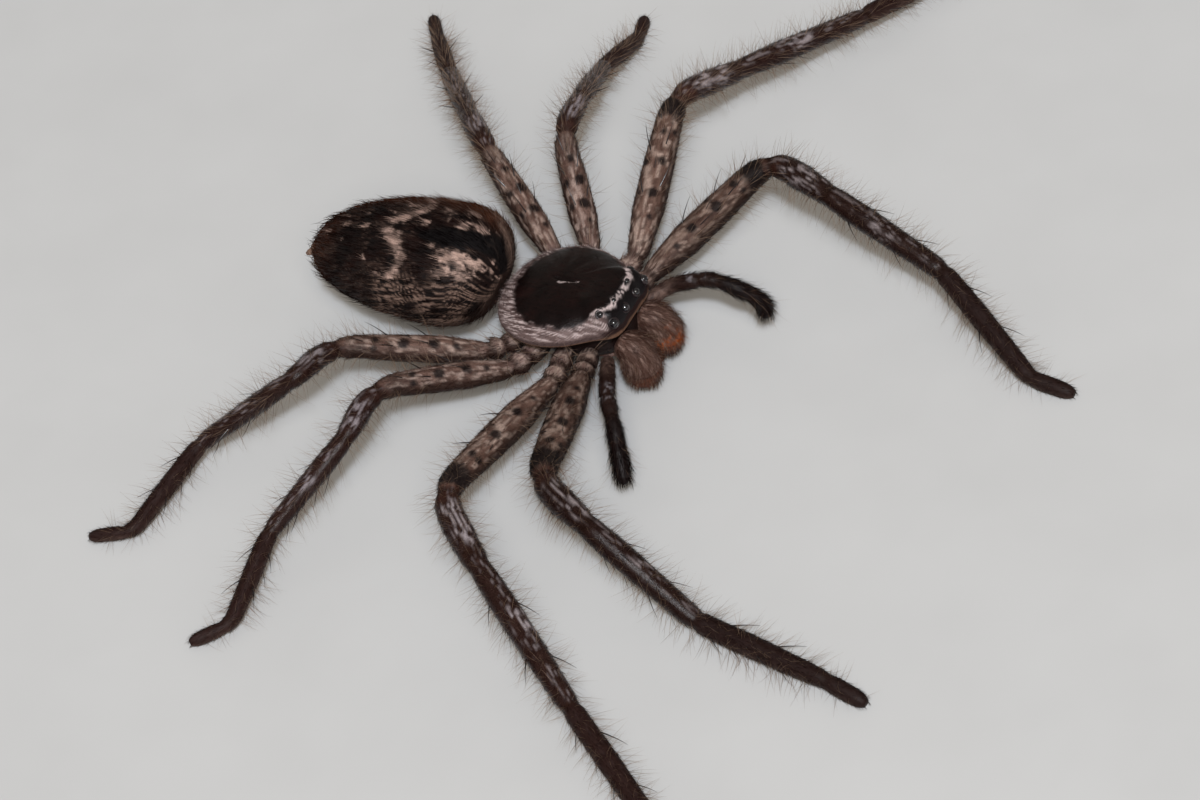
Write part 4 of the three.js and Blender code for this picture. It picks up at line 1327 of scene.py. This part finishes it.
# %% [markdown]
# ### One tuft for all hairs
# Hairs, spines and claws are the same thing at different sizes: a thin cone that leans over as it
# rises. So one tree makes the cone and another stands it on points. Each cone keeps a few faces,
# because there are thousands of them.

# %% Tools for node trees
def new_tree(name, inputs):
    """A geometry tree with named inputs, and short ways to add a node and to read an input."""
    tree = bpy.data.node_groups.new(name, "GeometryNodeTree")
    tree.interface.new_socket("Geometry", in_out="INPUT", socket_type="NodeSocketGeometry")
    for label, value in inputs.items():
        kind = {float: "NodeSocketFloat", int: "NodeSocketInt"}.get(type(value), "NodeSocketMaterial")
        socket = tree.interface.new_socket(label, in_out="INPUT", socket_type=kind)
        if kind != "NodeSocketMaterial":
            socket.default_value = value
    tree.interface.new_socket("Geometry", in_out="OUTPUT", socket_type="NodeSocketGeometry")
    given = tree.nodes.new("NodeGroupInput").outputs
    result = tree.nodes.new("NodeGroupOutput").inputs["Geometry"]

    def add(kind, settings=None, **sockets):
        node = tree.nodes.new(kind)
        for key, value in (settings or {}).items():
            setattr(node, key, value)
        return plug(tree, node, sockets)

    return tree, given, result, add


def maths(add, operation, a, b=0.0):
    return add("ShaderNodeMath", {"operation": operation}, _0=a, _1=b).outputs[0]


def vector_maths(add, operation, a, b=(0, 0, 0)):
    return add("ShaderNodeVectorMath", {"operation": operation}, _0=a, _1=b).outputs["Vector"]


def scaled(add, vector, size):
    return add("ShaderNodeVectorMath", {"operation": "SCALE"}, Vector=vector, Scale=size).outputs["Vector"]


def named(add, name, kind="FLOAT"):
    """A value that the geometry carries under a name."""
    return add("GeometryNodeInputNamedAttribute", {"data_type": kind}, Name=name).outputs["Attribute"]


def chance(add, low, high, seed, kind="FLOAT"):
    """A random value for each point."""
    node = add("FunctionNodeRandomValue", {"data_type": kind}, Seed=seed)
    lows, highs, out = {"FLOAT": (2, 3, 1), "FLOAT_VECTOR": (0, 1, 0)}[kind]
    node.inputs[lows].default_value = low
    node.inputs[highs].default_value = high
    return node.outputs[out]


def bent_cone(add, given):
    """A cone one unit long whose tip leans over towards its own -X side."""
    radii = {"Radius_Top": given["Tip"], "Radius_Bottom": given["Radius"]}
    sides = {"Vertices": given["Sides"], "Side_Segments": given["Segments"]}
    cone = add("GeometryNodeMeshCone", {"fill_type": "NGON"}, Depth=1.0, **sides, **radii)
    z = add("ShaderNodeSeparateXYZ", Vector=add("GeometryNodeInputPosition").outputs[0]).outputs["Z"]
    lean = maths(add, "MULTIPLY", maths(add, "POWER", maths(add, "ABSOLUTE", z), 2.0), given["Bend"])
    offset = add("ShaderNodeCombineXYZ", X=lean).outputs[0]
    return add("GeometryNodeSetPosition", Geometry=cone.outputs["Mesh"], Offset=offset).outputs[0]


def stood_on(add, points, cone, direction, back, size):
    """The cone on each point, its length in the direction and its lean towards back."""
    first = add("FunctionNodeAlignRotationToVector", {"axis": "Z"}, Vector=direction).outputs[0]
    lean = {"axis": "X", "pivot_axis": "Z"}
    turn = add("FunctionNodeAlignRotationToVector", lean, Rotation=first, Vector=back).outputs[0]
    made = add("GeometryNodeInstanceOnPoints", Points=points, Instance=cone, Rotation=turn, Scale=size)
    return made.outputs[0]


# %% The tree for spines and claws
def spike_tree():
    """Stands a bent cone on each point of a mesh that carries direction, back and size."""
    inputs = {"Radius": 0.03, "Tip": 0.004, "Bend": 0.1, "Sides": 8, "Segments": 4, "Material": None}
    tree, given, result, add = new_tree("spikes", inputs)
    cone = bent_cone(add, given)
    made = stood_on(
        add, given["Geometry"], cone, named(add, "direction", "FLOAT_VECTOR"),
        named(add, "back", "FLOAT_VECTOR"), named(add, "size"),
    )
    solid = add("GeometryNodeRealizeInstances", Geometry=made).outputs[0]
    tree.links.new(
        add("GeometryNodeSetMaterial", Geometry=solid, Material=given["Material"]).outputs[0], result
    )
    return tree


def grown(base, tree, name, **inputs):
    """Runs a tree on an object and returns what grows from it, as a plain mesh object."""
    modifier = base.modifiers.new("growth", "NODES")
    modifier.node_group = tree
    labels = {item.name: item.identifier for item in tree.interface.items_tree if item.in_out == "INPUT"}
    for label, value in inputs.items():
        modifier[labels[label]] = value
    evaluated = base.evaluated_get(bpy.context.evaluated_depsgraph_get())
    mesh = bpy.data.meshes.new_from_object(evaluated)
    base.modifiers.remove(modifier)
    mesh.name = name
    piece = bpy.data.objects.new(name, mesh)
    bpy.context.scene.collection.objects.link(piece)
    return piece


def points_piece(rows, name):
    """Loose points that carry the direction, the back and the size of a spike each."""
    roots, directions, backs, sizes = (np.array([row[i] for row in rows]) for i in range(4))
    base = new_piece(name, roots, [])

    def turned(vectors):
        return np.stack([vectors[:, 1], -vectors[:, 0], vectors[:, 2]], axis=-1)

    for key, vectors in (("direction", turned(directions)), ("back", turned(backs))):
        base.data.attributes.new(key, "FLOAT_VECTOR", "POINT").data.foreach_set(
            "vector", vectors.astype(np.float32).ravel()
        )
    base.data.attributes.new("size", "FLOAT", "POINT").data.foreach_set(
        "value", (sizes * MM).astype(np.float32)
    )
    return base


spikes = spike_tree()
leg_spikes, leg_claw_pieces = {}, {}
for leg in LEGS:
    side, number = leg
    base = points_piece(leg_spines(*leg), "spine_points")
    leg_spikes[leg] = grown(
        base, spikes, f"leg_{side}_{number}_spines", Radius=0.026, Bend=0.14, Material=spine_black
    )
    claw_base = points_piece(leg_claws(*leg), "claw_points")
    leg_claw_pieces[leg] = grown(
        claw_base, spikes, f"leg_{side}_{number}_claws", Radius=0.15, Bend=0.5, Material=claw_black
    )
    bpy.data.objects.remove(base)
    bpy.data.objects.remove(claw_base)
print("spines:", sum(len(piece.data.polygons) for piece in leg_spikes.values()) // 36)

# %% [markdown]
# ### The coat
# A huntsman looks like velvet because short hairs lie all over it, and shaggy in outline because
# long, thin hairs stand out between them. Both are grown by one tree. It scatters points over a
# skin, leans each hair along the skin's own lie, and gives it the skin's colour at its root. The
# hairs are real meshes, so the outline is hairy from every side.

# %% The tree for hairs
BAKE_PATCH = 0.003  # a tuft's share of the unwrap
LOWEST_HAIR = 0.00001  # metres above the floor
COAT_INPUTS = {
    "Density": 20.0,
    "Length": 0.5,
    "Radius": 0.04,
    "Tip": 0.0,
    "Bend": 0.3,
    "Sides": 3,
    "Segments": 2,
    "Rise": 0.0,
    "Disorder": 0.2,
    "Seed": 1,
    "Material": None,
}


def coat_tree(name, density_name):
    """Grows hairs on a skin where the named number says. Density is per square mm, lengths are in mm."""
    tree, given, result, add = new_tree(name, COAT_INPUTS)
    amount = maths(add, "MULTIPLY", named(add, density_name), maths(add, "MULTIPLY", given["Density"], 1e6))
    scatter = add(
        "GeometryNodeDistributePointsOnFaces", Mesh=given["Geometry"], Density=amount, Seed=given["Seed"]
    )
    normal = scatter.outputs["Normal"]
    rise = maths(
        add, "ADD", maths(add, "ADD", named(add, "hair_rise"), given["Rise"]), chance(add, -0.15, 0.35, 11)
    )
    flat = scaled(add, named(add, "lie", "FLOAT_VECTOR"), maths(add, "COSINE", rise))
    steep = scaled(add, normal, maths(add, "SINE", rise))
    loose = scaled(add, chance(add, (-1, -1, -1), (1, 1, 1), 12, "FLOAT_VECTOR"), given["Disorder"])
    direction = vector_maths(add, "ADD", vector_maths(add, "ADD", flat, steep), loose)
    down = scaled(add, normal, -1.0)
    size = maths(
        add, "MULTIPLY", maths(add, "MULTIPLY", named(add, "hair_length"), chance(add, 0.6, 1.25, 13)),
        given["Length"],
    )
    points = add(
        "GeometryNodeStoreNamedAttribute", Geometry=scatter.outputs["Points"], Name="shade",
        Value=chance(add, 0.7, 1.3, 14),
    )
    cone = bent_cone(add, given)
    where = add("ShaderNodeSeparateXYZ", Vector=add("GeometryNodeInputPosition").outputs[0]).outputs
    wide, tall = (maths(add, "MULTIPLY", where[axis], BAKE_PATCH) for axis in "XZ")
    patch = add("ShaderNodeCombineXYZ", X=wide, Y=tall).outputs[0]
    kind = {"data_type": "FLOAT_VECTOR"}
    cone = add("GeometryNodeStoreNamedAttribute", kind, Geometry=cone, Name="patch", Value=patch).outputs[0]
    hairs = stood_on(add, points.outputs[0], cone, direction, down, maths(add, "MULTIPLY", size, MM))
    solid = add("GeometryNodeRealizeInstances", Geometry=hairs).outputs[0]
    at = add("ShaderNodeSeparateXYZ", Vector=add("GeometryNodeInputPosition").outputs[0]).outputs
    above = maths(add, "MAXIMUM", at["Z"], LOWEST_HAIR)
    at = add("ShaderNodeCombineXYZ", X=at["X"], Y=at["Y"], Z=above).outputs[0]
    solid = add("GeometryNodeSetPosition", Geometry=solid, Position=at).outputs[0]
    place = vector_maths(
        add, "ADD", named(add, "unrolled", "FLOAT_VECTOR"), named(add, "patch", "FLOAT_VECTOR")
    )
    settings = {"data_type": "FLOAT2", "domain": "CORNER"}
    solid = add("GeometryNodeStoreNamedAttribute", settings, Geometry=solid, Name="OFBake", Value=place)
    solid = solid.outputs[0]
    tree.links.new(
        add("GeometryNodeSetMaterial", Geometry=solid, Material=given["Material"]).outputs[0], result
    )
    return tree


FRINGE_TAN = paint("a38974")


def hair_finish(name, shine, own_colour=(0, 0, 0), own_share=0.0):
    """Hairs in the colour of the skin at their root, each a little lighter or darker."""
    material, tree, shader, add = new_material(name)
    colour = read(add, "coat_colour", "Color")
    if own_share:
        mix = add("ShaderNodeMix", _0=own_share, _6=colour, _7=(*own_colour, 1))
        mix.data_type = "RGBA"
        colour = mix.outputs[2]
    colour = bright(add, colour, read(add, "shade"))
    tree.links.new(colour, shader.inputs["Base Color"])
    shader.inputs["Roughness"].default_value = shine
    shader.inputs["Specular IOR Level"].default_value = 0.03
    return material


short_coat, long_coat = coat_tree("short coat", "hair_density"), coat_tree("long coat", "fringe")
short_hair, long_hair = hair_finish("short_hair", 0.75), hair_finish("long_hair", 0.7, FRINGE_TAN, 0.65)
KEPT_ON_HAIR = {"coat_colour", "shade", "OFBake"}


def grow(skin_piece, tree, name, **inputs):
    """One coat piece on a skin, without the numbers that nothing needs any more."""
    numbers = {**{k: v for k, v in COAT_INPUTS.items() if v is not None}, **inputs}
    coat = grown(skin_piece, tree, name, **numbers)
    for key in [a.name for a in coat.data.attributes if not a.is_internal and not a.is_required]:
        if key not in KEPT_ON_HAIR and not key.startswith("."):
            coat.data.attributes.remove(coat.data.attributes[key])
    coat.data.materials.clear()
    coat.data.materials.append(inputs["Material"])
    coat.data.shade_smooth()
    return coat


# %% Grow the coats
LEG_COAT = {"Density": 20.0, "Length": 0.5, "Radius": 0.035, "Material": short_hair}
LEG_FRINGE = {
    "Density": 5.0, "Length": 2.2, "Radius": 0.0072, "Rise": 0.75, "Bend": 0.12, "Segments": 3,
    "Disorder": 0.35, "Material": long_hair,
}
SHELL_COAT = {"Density": 22.0, "Length": 0.6, "Radius": 0.028, "Material": short_hair}
JAW_COAT = {"Density": 36.0, "Length": 0.8, "Radius": 0.022, "Disorder": 0.35, "Material": short_hair}
JAW_FRINGE = {**LEG_FRINGE, "Length": 1.1, "Rise": 0.3}
PALP_COAT = {"Density": 34.0, "Length": 0.75, "Radius": 0.026, "Material": short_hair}
PALP_FRINGE = {**LEG_FRINGE, "Length": 1.4, "Rise": 0.4}
ABDOMEN_COATS = {
    "under": {"Density": 14.0, "Length": 0.75, "Rise": 0.0, "Radius": 0.022, "Material": short_hair},
    "over": {"Density": 10.0, "Length": 1.15, "Rise": 0.12, "Radius": 0.022, "Material": short_hair},
}
coats = []


def dress(slot_name, skin_piece, tree, name, seed, inputs):
    """Grows one coat piece and keeps it with its slot name."""
    coats.append((grow(skin_piece, tree, name, Seed=seed, **inputs), slot_name))


for i, ((side, number), piece) in enumerate(leg_skins.items()):
    dress("thighs", piece, short_coat, f"leg_{side}_{number}_coat", 10 + i, LEG_COAT)
    dress("shins", piece, long_coat, f"leg_{side}_{number}_fringe", 30 + i, LEG_FRINGE)
for i, (name, inputs) in enumerate(ABDOMEN_COATS.items()):
    dress("abdomen", abdomen_skin, short_coat, f"abdomen_{name}_coat", 50 + i, inputs)
dress("shell", carapace_skin, short_coat, "carapace_coat", 60, SHELL_COAT)
for i, side in enumerate(SIDES):
    dress("jaws", jaw_skins[side], short_coat, f"jaw_{side}_coat", 70 + i, JAW_COAT)
    dress("jaws", jaw_skins[side], long_coat, f"jaw_{side}_fringe", 75 + i, JAW_FRINGE)
    dress("palps", palp_skins[side], long_coat, f"palp_{side}_fringe", 85 + i, PALP_FRINGE)
    dress("palps", palp_skins[side], short_coat, f"palp_{side}_coat", 80 + i, PALP_COAT)
print(
    "coat triangles:",
    {coat.name: sum(len(p.vertices) - 2 for p in coat.data.polygons) for coat, _ in coats},
)

# %% [markdown]
# ### Every piece gets its finish and its place on the model
# Each piece rides on the one body of the model and stands for the solid whose shape it shows.

# %% Finish and settle the pieces
def settle(piece, slot_name, *nodes, finish=None):
    """Gives a piece its finish and its body, and hides the solids that it stands for; its slot name is not
    used.
    """
    if finish is not None:
        piece.data.materials.clear()
        piece.data.materials.append(finish)
    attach(piece, "root")
    if nodes:
        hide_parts(*nodes)


settle(carapace_skin, "shell", "carapace", finish=skin)
settle(sternum_plate, "underside", "sternum", finish=skin)
for part in mouth_parts:
    settle(part, "underside", finish=skin)
settle(waist, "underside", "pedicel", finish=skin)
settle(abdomen_skin, "abdomen", "abdomen", finish=skin)
settle(spinneret_pieces[0], "spinnerets", "spinnerets", finish=spinneret_tan)
for finger in spinneret_pieces[1:]:
    settle(finger, "spinnerets", finish=spinneret_tan)
for name in eye_places:
    settle(eye_lenses[name], "eyes", name, finish=eye_black)
    settle(eye_rings[name], "shell", finish=eye_ring_brown)
for side in SIDES:
    settle(jaw_skins[side], "jaws", f"jaw_{side}", finish=skin)
    settle(fang_blades[side], "fangs", f"fang_{side}", finish=fang_black)
    settle(palp_skins[side], "palps", f"palp_{side}_upper", f"palp_{side}_tip", finish=skin)
for (side, number), piece in leg_skins.items():
    nodes = [f"leg_{side}_{number}_{part}" for part in ("coxa", "femur", "shin", "foot")]
    settle(piece, "thighs", *nodes, finish=skin)
    settle(leg_spikes[side, number], "shins")
    settle(leg_claw_pieces[side, number], "feet")
for coat, slot_name in coats:
    settle(coat, slot_name)

# %% [markdown]
# ### Floor and light
# A plain pale floor. The photograph was lit by a flash close to the camera, a little above it, so
# the shadows are short and show just below the legs. A wide soft light from the same side fills them.

# %% Floor, lights and how light turns into colour
FLOOR_SIZE = 3.0
floor_piece = bpy.data.objects.new("floor", bpy.data.meshes.new("floor"))
half = FLOOR_SIZE / 2
corners = [(-half, -half, 0), (half, -half, 0), (half, half, 0), (-half, half, 0)]
floor_piece.data.from_pydata(corners, [], [(0, 1, 2, 3)])
bpy.context.scene.collection.objects.link(floor_piece)
floor_paint = hard_finish("floor_paint", "cbcccb", 0.75, scale=60, varied=0.012)
floor_piece.data.materials.append(floor_paint)


def soft_light(name, turn, rise, distance, size, power, colour=(1, 1, 1)):
    """A round area light that looks at the spider from a direction."""
    data = bpy.data.lights.new(name, "AREA")
    data.shape = "DISK"
    data.size = size
    data.energy = power
    data.color = colour
    light = bpy.data.objects.new(name, data)
    direction = aim(math.radians(turn), math.radians(rise))
    light.rotation_mode = "QUATERNION"
    light.rotation_quaternion = looking_back(direction)
    light.location = CAMERA_TARGET + direction * distance
    bpy.context.scene.collection.objects.link(light)
    return light


soft_light("flash", turn=-54, rise=49, distance=2.5, size=0.2, power=40, colour=(0.81, 0.88, 1.0))
soft_light("fill", turn=-55, rise=46, distance=1.5, size=0.7, power=11.5, colour=(1.0, 0.92, 0.82))
world = bpy.data.worlds.new("room")
world.use_nodes = True
world.node_tree.nodes["Background"].inputs["Color"].default_value = (1.0, 0.9, 0.8, 1)
world.node_tree.nodes["Background"].inputs["Strength"].default_value = 0.25
bpy.context.scene.world = world
bpy.context.scene.view_settings.view_transform = "Standard"
bpy.context.scene.view_settings.look = "None"
